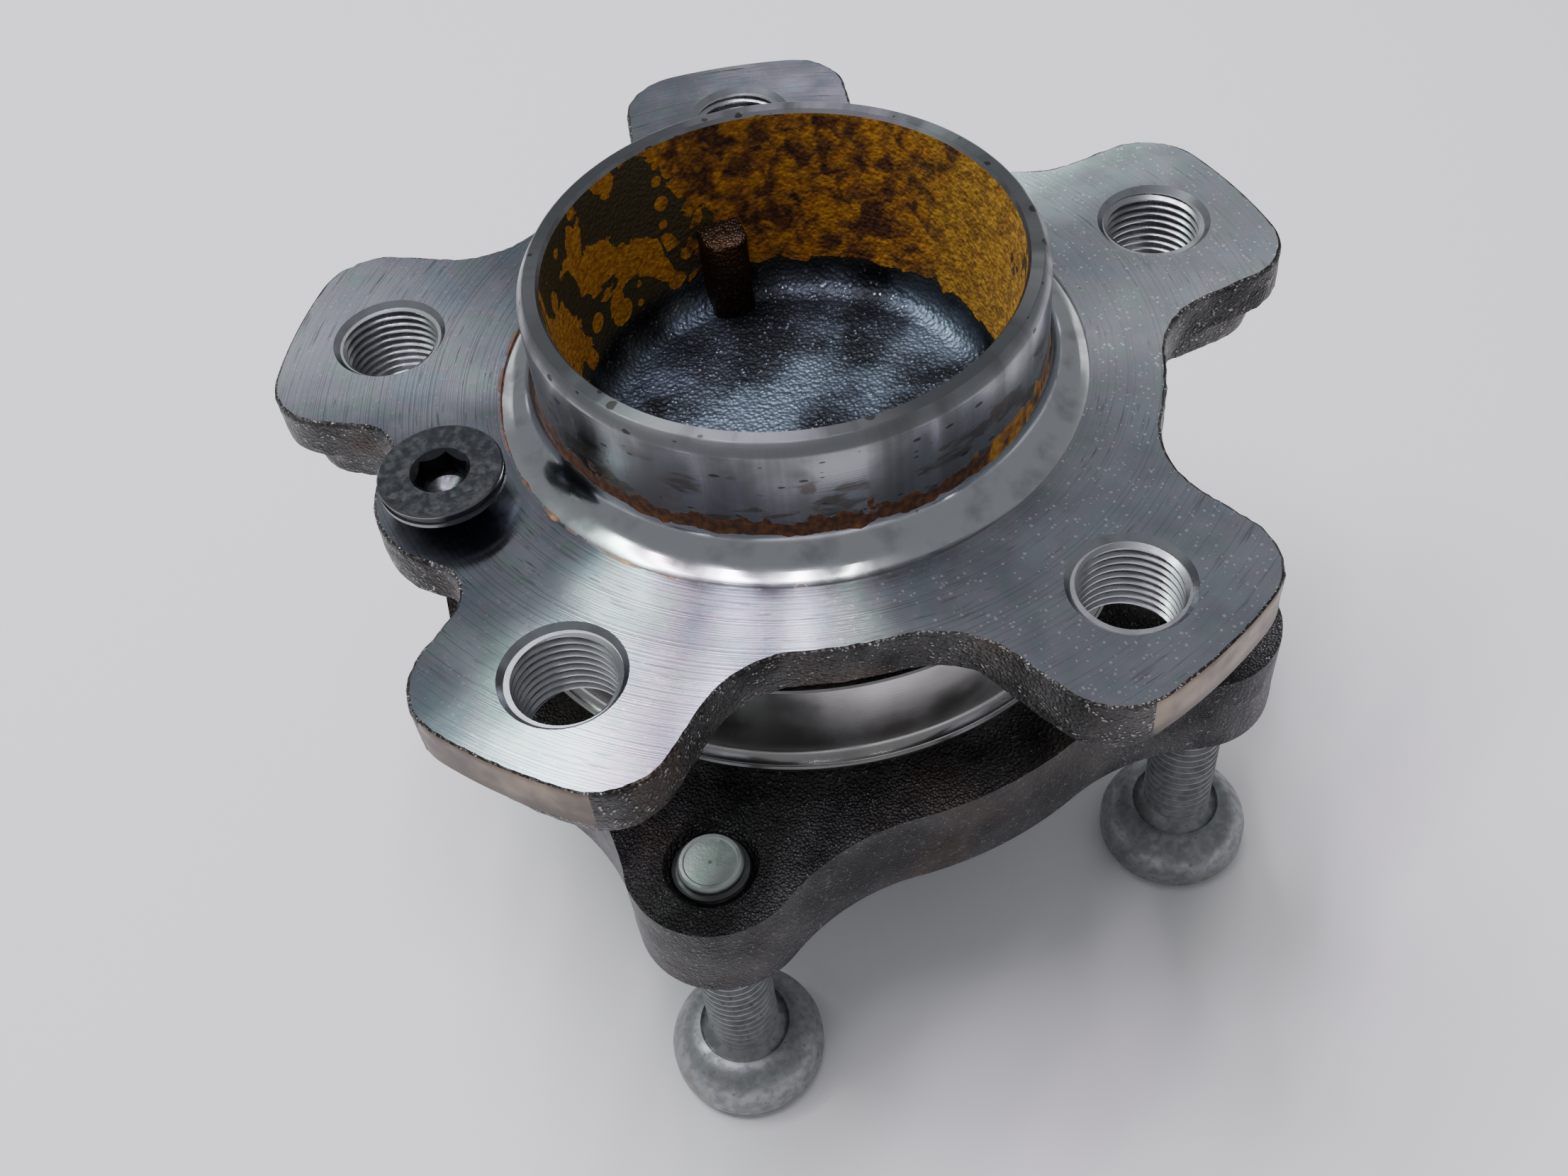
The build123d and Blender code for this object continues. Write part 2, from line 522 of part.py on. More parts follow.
def bolt_hole():
    """The cutter for one threaded hole of the mounting flange, chamfered at both mouths."""
    mouth_r = BOLT_THREAD_R + BOLT_HOLE_CHAMFER
    low = FLANGE_BACK_Z - PAST
    high = FLANGE_FRONT_Z + PAST
    hole = disc(BOLT_HOLE_R, low, high)
    hole += turned([(0, FLANGE_FRONT_Z - mouth_r), (mouth_r + PAST, high), (0, high)])
    return hole + turned([(0, FLANGE_BACK_Z + mouth_r), (mouth_r + PAST, low), (0, low)])


def outer_ring():
    """The stationary forging: nose, mounting flange, both outer raceways and the spigot."""
    flange = mounting_flange() - disc(OUTER_LAND_R, FLANGE_BACK_Z - PAST, FLANGE_FRONT_Z + PAST)
    ring = ring_body() + flange + nose_fillet()
    ring = ring - raceway(OUTBOARD_Z) - raceway(INBOARD_Z)
    for angle in bolt_angles():
        ring -= polar(BOLT_CIRCLE_R, angle) * bolt_hole()
    return ring


def deflector_ring():
    """The bright sheet ring pressed on the nose, turned out into a lip at its foot."""
    inner = NOSE_R + PRESS_GAP
    outer = inner + DEFLECTOR_WALL
    flare = DEFLECTOR_LIP_R - outer
    top = NOSE_Z - DEFLECTOR_TOP
    bend = DEFLECTOR_LIP_Z + DEFLECTOR_WALL + flare
    sleeve = tube(outer, inner, bend, top)
    flared = tube(DEFLECTOR_LIP_R, inner, DEFLECTOR_LIP_Z, bend)
    flared -= Pos(0, 0, bend) * Torus(DEFLECTOR_LIP_R, flare)
    under = turned([
        (inner - PAST, DEFLECTOR_LIP_Z - PAST),
        (DEFLECTOR_LIP_R - DEFLECTOR_WALL, DEFLECTOR_LIP_Z - PAST),
        (DEFLECTOR_LIP_R - DEFLECTOR_WALL, DEFLECTOR_LIP_Z),
        (inner, bend),
        (inner - PAST, bend),
    ])
    return sleeve + flared - under


def mounting_bolt(angle):
    """A bolt with a domed seat and a round head, screwed part way in from behind.

    Its thread is as wide as the drilled hole inside the flange, and full width behind it.
    """
    dome_z = BOLT_SEAT_Z - BOLT_DOME
    straight = Polyline(
        (BOLT_COLLAR_R, BOLT_SEAT_Z),
        (BOLT_THREAD_R, BOLT_SEAT_Z),
        (BOLT_THREAD_R, FLANGE_BACK_Z),
        (BOLT_CORE_R, FLANGE_BACK_Z),
        (BOLT_CORE_R, BOLT_END_Z),
        (0, BOLT_END_Z),
        (0, BOLT_BOTTOM_Z),
        (BOLT_HEAD_R, BOLT_BOTTOM_Z),
        (BOLT_HEAD_R, dome_z),
    )
    dome = RadiusArc((BOLT_HEAD_R, dome_z), (BOLT_COLLAR_R, BOLT_SEAT_Z), -BOLT_DOME_R)
    bolt = revolve(Plane.XZ * make_face(Curve() + [straight, dome]), Axis.Z)
    bolt = fillet(bolt.edges().sort_by(Axis.Z)[0], BOLT_HEAD_EDGE_R)
    bolt -= Pos(0, 0, BOLT_BOTTOM_Z - PAST) * hexagon(BOLT_SOCKET_AF, BOLT_SOCKET_DEPTH + PAST)
    return polar(BOLT_CIRCLE_R, angle) * bolt


def ball_places():
    """Angles of the balls in one row."""
    return [index * 360 / BALL_COUNT for index in range(BALL_COUNT)]


def ball(height, angle):
    """One ball at its place in a row."""
    return polar(PITCH_R, angle) * Pos(0, 0, height) * Sphere(BALL_R)


def cage(height, back):
    """A moulded cage: a ring with ball pockets, closed on the side that back points to."""
    low = min(CAGE_BACK * back, -CAGE_FRONT * back)
    high = max(CAGE_BACK * back, -CAGE_FRONT * back)
    ring = tube(CAGE_OUTER_R, CAGE_INNER_R, low, high)
    for angle in ball_places():
        ring -= polar(PITCH_R, angle) * Sphere(BALL_R + CAGE_GAP)
    return Pos(0, 0, height) * ring


def outboard_slinger():
    """Pressed steel ring on the hub's seal land, with a leg that stands out before the seal."""
    inner = SEAL_LAND_R + PRESS_GAP
    top = -ROOT_THICKNESS - ROOT_FILLET_R
    return turned([
        (inner, SEAL_LAND_END_Z),
        (inner + SHEET, SEAL_LAND_END_Z),
        (inner + SHEET, top - SHEET),
        (SEAL_BORE_R - 2 * SHEET, top - SHEET),
        (SEAL_BORE_R - 2 * SHEET, top),
        (inner, top),
    ])


def seal_case(mouth_z, inward):
    """Pressed steel case in the outer ring's bore, its leg reaching in on the bearing side."""
    outer = SEAL_BORE_R - PRESS_GAP
    deep_z = mouth_z + inward * SEAL_DEPTH
    leg_z = deep_z - inward * SHEET
    reach = outer - SHEET - CASE_REACH
    return turned([
        (outer, mouth_z),
        (outer, deep_z),
        (reach, deep_z),
        (reach, leg_z),
        (outer - SHEET, leg_z),
        (outer - SHEET, mouth_z),
    ])


def seal_lip(mouth_z, inward, shaft_r, leg_z):
    """Rubber on the case's leg, with a lip towards the shaft and one towards the leg that turns."""
    outer = SEAL_BORE_R - PRESS_GAP - SHEET - PRESS_GAP
    case_z = mouth_z + inward * (SEAL_DEPTH - SHEET)
    face_z = case_z - inward * LIP_BODY
    tip_z = leg_z + inward * SEAL_GAP
    tip_r = shaft_r + SEAL_GAP
    body_r = shaft_r + LIP_BODY
    side_r = outer - LIP_ROOM - LIP_LEAN - LIP_WIDTH
    return turned([
        (outer, case_z),
        (outer, face_z),
        (side_r + LIP_WIDTH, face_z),
        (side_r + LIP_WIDTH + LIP_LEAN, tip_z),
        (side_r + 2 * LIP_LEAN, tip_z),
        (side_r, face_z),
        (body_r, face_z),
        (tip_r, face_z - inward * LIP_WIDTH),
        (tip_r, face_z),
        (body_r, case_z),
    ])


def encoder_carrier():
    """Pressed steel ring on the inner ring, whose leg carries the magnetised ring."""
    inner = INNER_LAND_R + PRESS_GAP
    leg_z = INNER_BACK_Z + SHEET
    return turned([
        (inner, INNER_BACK_Z),
        (inner, INNER_BACK_Z + SEAL_DEPTH - SHEET),
        (inner + SHEET, INNER_BACK_Z + SEAL_DEPTH - SHEET),
        (inner + SHEET, leg_z),
        (ENCODER_OUTER_R, leg_z),
        (ENCODER_OUTER_R, INNER_BACK_Z),
    ])


def encoder_ring():
    """Magnetised rubber ring bonded on the outer face of its carrier."""
    back = INNER_BACK_Z - PRESS_GAP
    return tube(ENCODER_OUTER_R, ENCODER_INNER_R, back - ENCODER_WALL, back)


def end_cap():
    """Drawn steel cap pressed in the rear bore, raised in the middle over the spindle end."""
    outer = SEAL_BORE_R - PRESS_GAP
    top = TAIL_END_Z + CAP_PRESS
    cap = turned([
        (outer, top),
        (outer, CAP_RIM_Z),
        (CAP_CROWN_R, CAP_RIM_Z),
        (CAP_CROWN_R, CAP_END_Z),
        (0, CAP_END_Z),
        (0, CAP_END_Z + CAP_WALL),
        (CAP_CROWN_R - CAP_WALL, CAP_END_Z + CAP_WALL),
        (CAP_CROWN_R - CAP_WALL, CAP_RIM_Z + CAP_WALL),
        (outer - CAP_WALL, CAP_RIM_Z + CAP_WALL),
        (outer - CAP_WALL, top),
    ])
    crown = cap.edges().sort_by(Axis.Z)[0]
    rim = cap.edges().filter_by(lambda edge: abs(edge.center().Z - CAP_RIM_Z) < SAME).sort_by(SortBy.LENGTH)
    cap = fillet([crown, rim[-1]], CAP_CORNER_R)
    foot = cap.edges().filter_by(lambda edge: abs(edge.center().Z - CAP_RIM_Z) < SAME).sort_by(SortBy.LENGTH)
    return fillet(foot[0], CAP_FOOT_R)


def seals():
    """The seal pieces, the encoder and the cap, by name."""
    outboard_mouth = NOSE_Z - SEAL_INSET
    slinger_leg = -ROOT_THICKNESS - ROOT_FILLET_R - SHEET
    return {
        "outboard_seal_case": seal_case(outboard_mouth, -1),
        "outboard_seal_lip": seal_lip(outboard_mouth, -1, SEAL_LAND_R + PRESS_GAP + SHEET, slinger_leg),
        "inboard_seal_case": seal_case(INBOARD_MOUTH_Z, 1),
        "inboard_seal_lip": seal_lip(INBOARD_MOUTH_Z, 1, INNER_LAND_R + PRESS_GAP + SHEET, INBOARD_MOUTH_Z),
        "end_cap": end_cap(),
    }


def hub_pieces():
    """Everything that turns with the wheel, at its rest angle, by name."""
    pieces = {
        "wheel_hub": wheel_hub(),
        "brake_disc_screw": brake_disc_screw(),
        "inner_ring": inner_ring(),
        "outboard_slinger": outboard_slinger(),
        "encoder_carrier": encoder_carrier(),
        "encoder_ring": encoder_ring(),
    }
    return {name: Rot(0, 0, HUB_TURN) * piece for name, piece in pieces.items()}


def ball_pieces():
    """Both rows of balls and their cages, by name."""
    pieces = {"outboard_cage": cage(OUTBOARD_Z, 1), "inboard_cage": cage(INBOARD_Z, -1)}
    for number, angle in enumerate(ball_places(), start=1):
        pieces[f"outboard_ball_{number:02d}"] = ball(OUTBOARD_Z, angle)
        pieces[f"inboard_ball_{number:02d}"] = ball(INBOARD_Z, angle)
    return pieces


def fixed_pieces():
    """Everything that stays with the knuckle, apart from the seals, by name."""
    pieces = {"outer_ring": outer_ring(), "deflector_ring": deflector_ring()}
    for number, angle in enumerate(bolt_angles(), start=1):
        pieces[f"mounting_bolt_{number}"] = mounting_bolt(angle)
    return pieces


def main():
    """Build every piece and write it to its own file."""
    os.makedirs("parts", exist_ok=True)
    pieces = {**hub_pieces(), **ball_pieces(), **fixed_pieces(), **seals()}
    for name, piece in pieces.items():
        export_step(piece, f"parts/{name}.step")


if __name__ == "__main__":
    main()
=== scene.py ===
"""Looks of a wheel hub bearing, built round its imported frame.

Meshes are modelled in millimetres, about the hub axis Z with the wheel face at zero, and are brought
to metres when a piece is finished.
"""

import json
import logging
import math
from dataclasses import dataclass
from enum import Enum, IntEnum
from typing import Callable, Iterable, Sequence, Union

import bmesh
import bpy
from bmesh.types import BMEdge, BMesh, BMFace, BMVert
from bpy.types import Material, Node, NodeSocket, Object, ShaderNodeTree
from mathutils import Matrix, Vector, noise


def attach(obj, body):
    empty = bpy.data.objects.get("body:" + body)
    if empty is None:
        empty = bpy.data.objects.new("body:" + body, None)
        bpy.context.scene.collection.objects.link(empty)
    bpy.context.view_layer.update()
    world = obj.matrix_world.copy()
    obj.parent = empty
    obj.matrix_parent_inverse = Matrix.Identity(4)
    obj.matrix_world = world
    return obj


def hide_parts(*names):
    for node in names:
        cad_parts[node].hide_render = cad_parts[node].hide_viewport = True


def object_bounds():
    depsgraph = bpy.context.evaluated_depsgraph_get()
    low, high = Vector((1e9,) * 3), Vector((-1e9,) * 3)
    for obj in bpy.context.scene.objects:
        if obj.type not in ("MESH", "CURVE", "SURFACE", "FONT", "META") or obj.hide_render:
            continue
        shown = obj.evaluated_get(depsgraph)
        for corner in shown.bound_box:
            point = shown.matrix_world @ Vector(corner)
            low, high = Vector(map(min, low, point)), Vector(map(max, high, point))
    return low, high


LOG = logging.getLogger("wheel_hub_bearing")

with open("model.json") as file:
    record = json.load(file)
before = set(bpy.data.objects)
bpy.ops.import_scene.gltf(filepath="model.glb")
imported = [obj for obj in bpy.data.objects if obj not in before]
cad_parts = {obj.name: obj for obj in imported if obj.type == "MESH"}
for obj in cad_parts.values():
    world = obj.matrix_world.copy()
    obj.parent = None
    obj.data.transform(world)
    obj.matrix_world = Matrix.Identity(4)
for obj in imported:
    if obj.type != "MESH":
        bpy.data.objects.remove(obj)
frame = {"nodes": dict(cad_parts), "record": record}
CAD_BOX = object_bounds()

# A millimetre in metres. In millimetres, how near two points count as one, and how far from level a
# machined face may lie; then the latter in metres, for a finished mesh.
MM = 0.001
TINY = 1e-4
FLAT = 1e-3
LEVEL = FLAT * MM

# The two rows of balls that both races follow, in millimetres.
ROW_RADIUS = 32.0
OUTBOARD_ROW = -26.5
INBOARD_ROW = -48.8
GROOVE = 6.6

# Where the mounting bolts and the disc screw stand, in millimetres and degrees.
BOLT_CIRCLE = 58.0
BOLT_ANGLES = (-130.0, -50.0, 50.0, 130.0)
SCREW_CIRCLE = 47.8

# Steps round the axis of a large turned piece.
AROUND = 256

Point = tuple[float, float]
Colour = tuple[float, float, float]
Input = Union[float, Sequence[float], NodeSocket]
Inputs = dict[Union[int, str], Input]


class Body(str, Enum):
    """The bodies of the frame that pieces ride on."""

    WHEEL = "wheel_side"
    KNUCKLE = "knuckle_side"


# Points and outlines


@dataclass(frozen=True)
class Arc:
    """A round stretch of an outline, in millimetres and degrees."""

    x: float
    y: float
    radius: float
    start: float
    end: float

    def turned(self, angle: float) -> "Arc":
        """The same arc, turned about the hub axis by an angle in degrees."""
        spot = Vector((self.x, self.y)) @ Matrix.Rotation(math.radians(-angle), 2)
        return Arc(spot.x, spot.y, self.radius, self.start + angle, self.end + angle)

    def points(self, count: int) -> list[Point]:
        """Evenly spread points from the arc's start to its end.

        Args:
            count: number of steps between the first and the last point.

        Returns:
            The points, both ends included.
        """
        sweep = self.end - self.start
        turns = [math.radians(self.start + sweep * step / count) for step in range(count + 1)]
        return [
            (self.x + self.radius * math.cos(turn), self.y + self.radius * math.sin(turn)) for turn in turns
        ]


def heading(angle: float) -> Vector:
    """Unit direction at an angle in degrees."""
    return Vector((math.cos(math.radians(angle)), math.sin(math.radians(angle))))


def bearing(x: float, y: float) -> float:
    """Direction of a point from the origin, in degrees."""
    return math.degrees(math.atan2(y, x))


def trace(mesh: BMesh, arcs: Iterable[Arc], step: float) -> BMFace:
    """Draws a closed outline of arcs, with straight runs between them, and fills it.

    Args:
        mesh: the mesh that gets the outline, empty until now.
        arcs: the outline's round stretches, in order.
        step: longest distance between two neighbouring points.

    Returns:
        The face inside the outline, at height zero.
    """
    ends = []
    for arc in arcs:
        first = mesh.verts.new((*arc.points(1)[0], 0))
        sweep = math.radians(arc.end - arc.start)
        count = max(1, math.ceil(abs(sweep) * arc.radius / step))
        spun = bmesh.ops.spin(
            mesh, geom=[first], cent=(arc.x, arc.y, 0), axis=(0, 0, 1), angle=sweep, steps=count
        )
        last = next(item for item in spun["geom_last"] if isinstance(item, BMVert))
        ends.append((first, last))
    for index, (_, last) in enumerate(ends):
        following = ends[(index + 1) % len(ends)][0]
        if (last.co - following.co).length > TINY:
            mesh.edges.new((last, following))
    bmesh.ops.remove_doubles(mesh, verts=mesh.verts, dist=TINY)
    for edge in [edge for edge in mesh.edges if edge.calc_length() > 1.5 * step]:
        bmesh.ops.subdivide_edges(mesh, edges=[edge], cuts=math.floor(edge.calc_length() / step))
    filled = bmesh.ops.contextual_create(mesh, geom=list(mesh.edges))
    return filled["faces"][0]


def raise_walls(mesh: BMesh, face: BMFace, depth: float, rows: int) -> None:
    """Extrudes a face straight down into a closed block, with rows of points up its walls.

    Args:
        mesh: the mesh that holds the face.
        face: the block's upper face.
        depth: the block's height.
        rows: number of rows of faces up each wall.
    """
    grown = bmesh.ops.extrude_face_region(mesh, geom=[face])
    moved = [item for item in grown["geom"] if isinstance(item, BMVert)]
    bmesh.ops.translate(mesh, verts=moved, vec=(0, 0, -depth))
    uprights = [edge for edge in mesh.edges if abs(edge.verts[0].co.z - edge.verts[1].co.z) > depth / 2]
    bmesh.ops.subdivide_edges(mesh, edges=uprights, cuts=rows - 1, use_grid_fill=True)
    bmesh.ops.recalc_face_normals(mesh, faces=mesh.faces)


def level_edges(mesh: BMesh, height: float) -> list[BMEdge]:
    """The edges whose both ends lie at a height."""
    return [edge for edge in mesh.edges if all(abs(vert.co.z - height) < TINY for vert in edge.verts)]


def round_off(mesh: BMesh, edges: list[BMEdge], radius: float, segments: int) -> None:
    """Rounds edges by a radius."""
    bmesh.ops.bevel(
        mesh,
        geom=edges,
        offset=radius,
        segments=segments,
        profile=0.5,
        affect="EDGES",
        material=-1,
        clamp_overlap=True,
    )


def lathe(points: Sequence[Point], steps: int) -> BMesh:
    """Turns a closed half section about the hub axis.

    Args:
        points: (radius, height) corners of the section, in order.
        steps: number of steps round the axis.

    Returns:
        A closed mesh with its faces pointing out.
    """
    mesh = bmesh.new()
    verts = [mesh.verts.new((radius, 0, height)) for radius, height in points]
    pairs = list(zip(verts, verts[1:] + verts[:1]))
    edges = [mesh.edges.new(pair) for pair in pairs if max(pair[0].co.x, pair[1].co.x) > TINY]
    bmesh.ops.spin(
        mesh, geom=verts + edges, cent=(0, 0, 0), axis=(0, 0, 1), angle=math.tau, steps=steps, use_merge=True
    )
    bmesh.ops.remove_doubles(mesh, verts=mesh.verts, dist=TINY)
    bmesh.ops.recalc_face_normals(mesh, faces=mesh.faces)
    return mesh


def moved(mesh: BMesh, x: float, y: float, z: float = 0.0) -> BMesh:
    """The mesh, moved by a distance along each axis."""
    bmesh.ops.translate(mesh, verts=mesh.verts, vec=(x, y, z))
    return mesh


def turned(mesh: BMesh, angle: float) -> BMesh:
    """The mesh, turned about the hub axis by an angle in degrees."""
    matrix = Matrix.Rotation(math.radians(angle), 3, "Z")
    bmesh.ops.rotate(mesh, verts=mesh.verts, cent=(0, 0, 0), matrix=matrix)
    return mesh


def merged(meshes: Iterable[BMesh]) -> BMesh:
    """All the meshes in one, each a shell of its own."""
    whole = bmesh.new()
    for mesh in meshes:
        held = bpy.data.meshes.new("held")
        mesh.to_mesh(held)
        mesh.free()
        whole.from_mesh(held)
        bpy.data.meshes.remove(held)
    return whole


def combined(base: BMesh, tool: BMesh, operation: str) -> BMesh:
    """Joins a closed tool to a closed base, or cuts it out of the base.

    Args:
        base: the solid that changes.
        tool: the solid that is joined or cut away.
        operation: UNION or DIFFERENCE.

    Returns:
        The new solid; both inputs are used up.
    """
    holders = []
    for mesh in (base, tool):
        data = bpy.data.meshes.new("blank")
        mesh.to_mesh(data)
        mesh.free()
        holder = bpy.data.objects.new("blank", data)
        bpy.context.scene.collection.objects.link(holder)
        holders.append(holder)
    boolean = holders[0].modifiers.new("boolean", "BOOLEAN")
    boolean.operation = operation
    boolean.solver = "EXACT"
    boolean.object = holders[1]
    bpy.context.view_layer.update()
    evaluated = holders[0].evaluated_get(bpy.context.evaluated_depsgraph_get())
    result = bmesh.new()
    result.from_mesh(evaluated.to_mesh())
    evaluated.to_mesh_clear()
    for holder in holders:
        data = holder.data
        bpy.data.objects.remove(holder)
        bpy.data.meshes.remove(data)
    return result


def helix(root: float, crest: float, pitch: float, low: float, high: float, steps: int) -> BMesh:
    """A screw thread's ridge, wound about the hub axis and cut level at both ends.

    Args:
        root: radius at the ridge's foot.
        crest: radius at the ridge's top, less than root for an inner thread.
        pitch: rise in one turn.
        low: height of the thread's lower end.
        high: height of its upper end.
        steps: number of steps in one turn.

    Returns:
        A closed mesh of the ridge.
    """
    foot = 0.46 * pitch
    top = 0.09 * pitch
    start = low - pitch
    turns = math.ceil((high - low) / pitch) + 2
    mesh = bmesh.new()
    corners = ((root, -foot), (crest, -top), (crest, top), (root, foot))
    section = [mesh.verts.new((radius, 0, start + height)) for radius, height in corners]
    loop = [mesh.edges.new(pair) for pair in zip(section, section[1:] + section[:1])]
    face = mesh.faces.new(section)
    spun = bmesh.ops.spin(
        mesh,
        geom=section + loop,
        cent=(0, 0, 0),
        axis=(0, 0, 1),
        dvec=(0, 0, pitch / steps),
        angle=math.tau * turns,
        steps=steps * turns,
    )
    last = [item for item in spun["geom_last"] if isinstance(item, BMEdge)]
    bmesh.ops.contextual_create(mesh, geom=last)
    face.normal_update()
    for height, side in ((low, -1), (high, 1)):
        geometry = mesh.verts[:] + mesh.edges[:] + mesh.faces[:]
        cut = bmesh.ops.bisect_plane(
            mesh, geom=geometry, plane_co=(0, 0, height), plane_no=(0, 0, side), clear_outer=True
        )
        rim = [item for item in cut["geom_cut"] if isinstance(item, BMEdge)]
        bmesh.ops.holes_fill(mesh, edges=rim, sides=0)
    bmesh.ops.recalc_face_normals(mesh, faces=mesh.faces)
    return mesh


def drills(
    inner: float, mouth: float, top: float, low: float, circle: float, angles: Iterable[float]
) -> list[BMesh]:
    """Cutters for through holes with a chamfer at both ends.

    Args:
        inner: a hole's radius.
        mouth: its radius at either end.
        top: height of its upper end.
        low: height of its lower end.
        circle: radius of the circle that the holes stand on.
        angles: their angles in degrees.

    Returns:
        A closed cutter for each hole.
    """
    lip = mouth - inner
    half = [(0, top + 1), (mouth + 1, top + 1), (mouth, top), (inner, top - lip)]
    half += [(inner, low + lip), (mouth, low), (mouth + 1, low - 1), (0, low - 1)]
    return [turned(moved(lathe(half, 64), circle, 0), angle) for angle in angles]


def hexagon(across_flats: float, low: float, high: float) -> BMesh:
    """A six-sided bar about the hub axis between two heights."""
    radius = across_flats / math.sqrt(3)
    return lathe([(0, low), (radius, low), (radius, high), (0, high)], 6)


def bored(radius: float, circle: float, angle: float, spot: Vector) -> bool:
    """Whether a point lies within a radius of a hole's middle, which is on a circle at an angle."""
    middle = Vector((circle, 0)) @ Matrix.Rotation(math.radians(-angle), 2)
    return (spot.xy - middle).length < radius


def roughen(mesh: BMesh, chosen: Callable[[BMVert], Vector], grain: float, depth: float) -> None:
    """Moves points in and out like the skin of a forging.

    Args:
        mesh: the mesh whose points move.
        chosen: gives the direction that a point may move in, or a zero vector.
        grain: size of the unevenness.
        depth: greatest move either way.
    """
    for vert in mesh.verts:
        direction = chosen(vert)
        if direction.length_squared > TINY:
            swell = noise.fractal(vert.co / grain, 1.0, 2.0, 3)
            vert.co += direction.normalized() * swell * depth


def axes(side: Vector, up: Vector, back: Vector, place: Vector) -> Matrix:
    """The matrix that stands a light or the camera at a place, along three unit directions."""
    return Matrix((*zip(side, up, back, place), (0, 0, 0, 1)))


def make_piece(
    name: str, mesh: BMesh, body: Body, finishes: Sequence[Material], sharp: float = 32.0
) -> Object:
    """Brings a mesh to metres and makes it a piece that rides on a body.

    Args:
        name: the piece's name.
        mesh: its mesh in millimetres, used up here.
        body: the body that it rides on.
        finishes: its materials, in the order of the faces' material numbers.
        sharp: angle in degrees past which an edge stays sharp.

    Returns:
        The new object.
    """
    bmesh.ops.scale(mesh, vec=(MM, MM, MM), verts=mesh.verts)
    heights = [[vert.co.z for vert in face.verts] for face in mesh.faces]
    data = bpy.data.meshes.new(name)
    mesh.to_mesh(data)
    mesh.free()
    data.set_sharp_from_angle(angle=math.radians(sharp))
    data.polygons.foreach_set("use_smooth", [max(column) - min(column) > LEVEL for column in heights])
    for finish in finishes:
        data.materials.append(finish)
    piece = bpy.data.objects.new(name, data)
    bpy.context.scene.collection.objects.link(piece)
    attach(piece, body.value)
    LOG.info("%s: %d faces", name, len(data.polygons))
    return piece


# Shader helpers


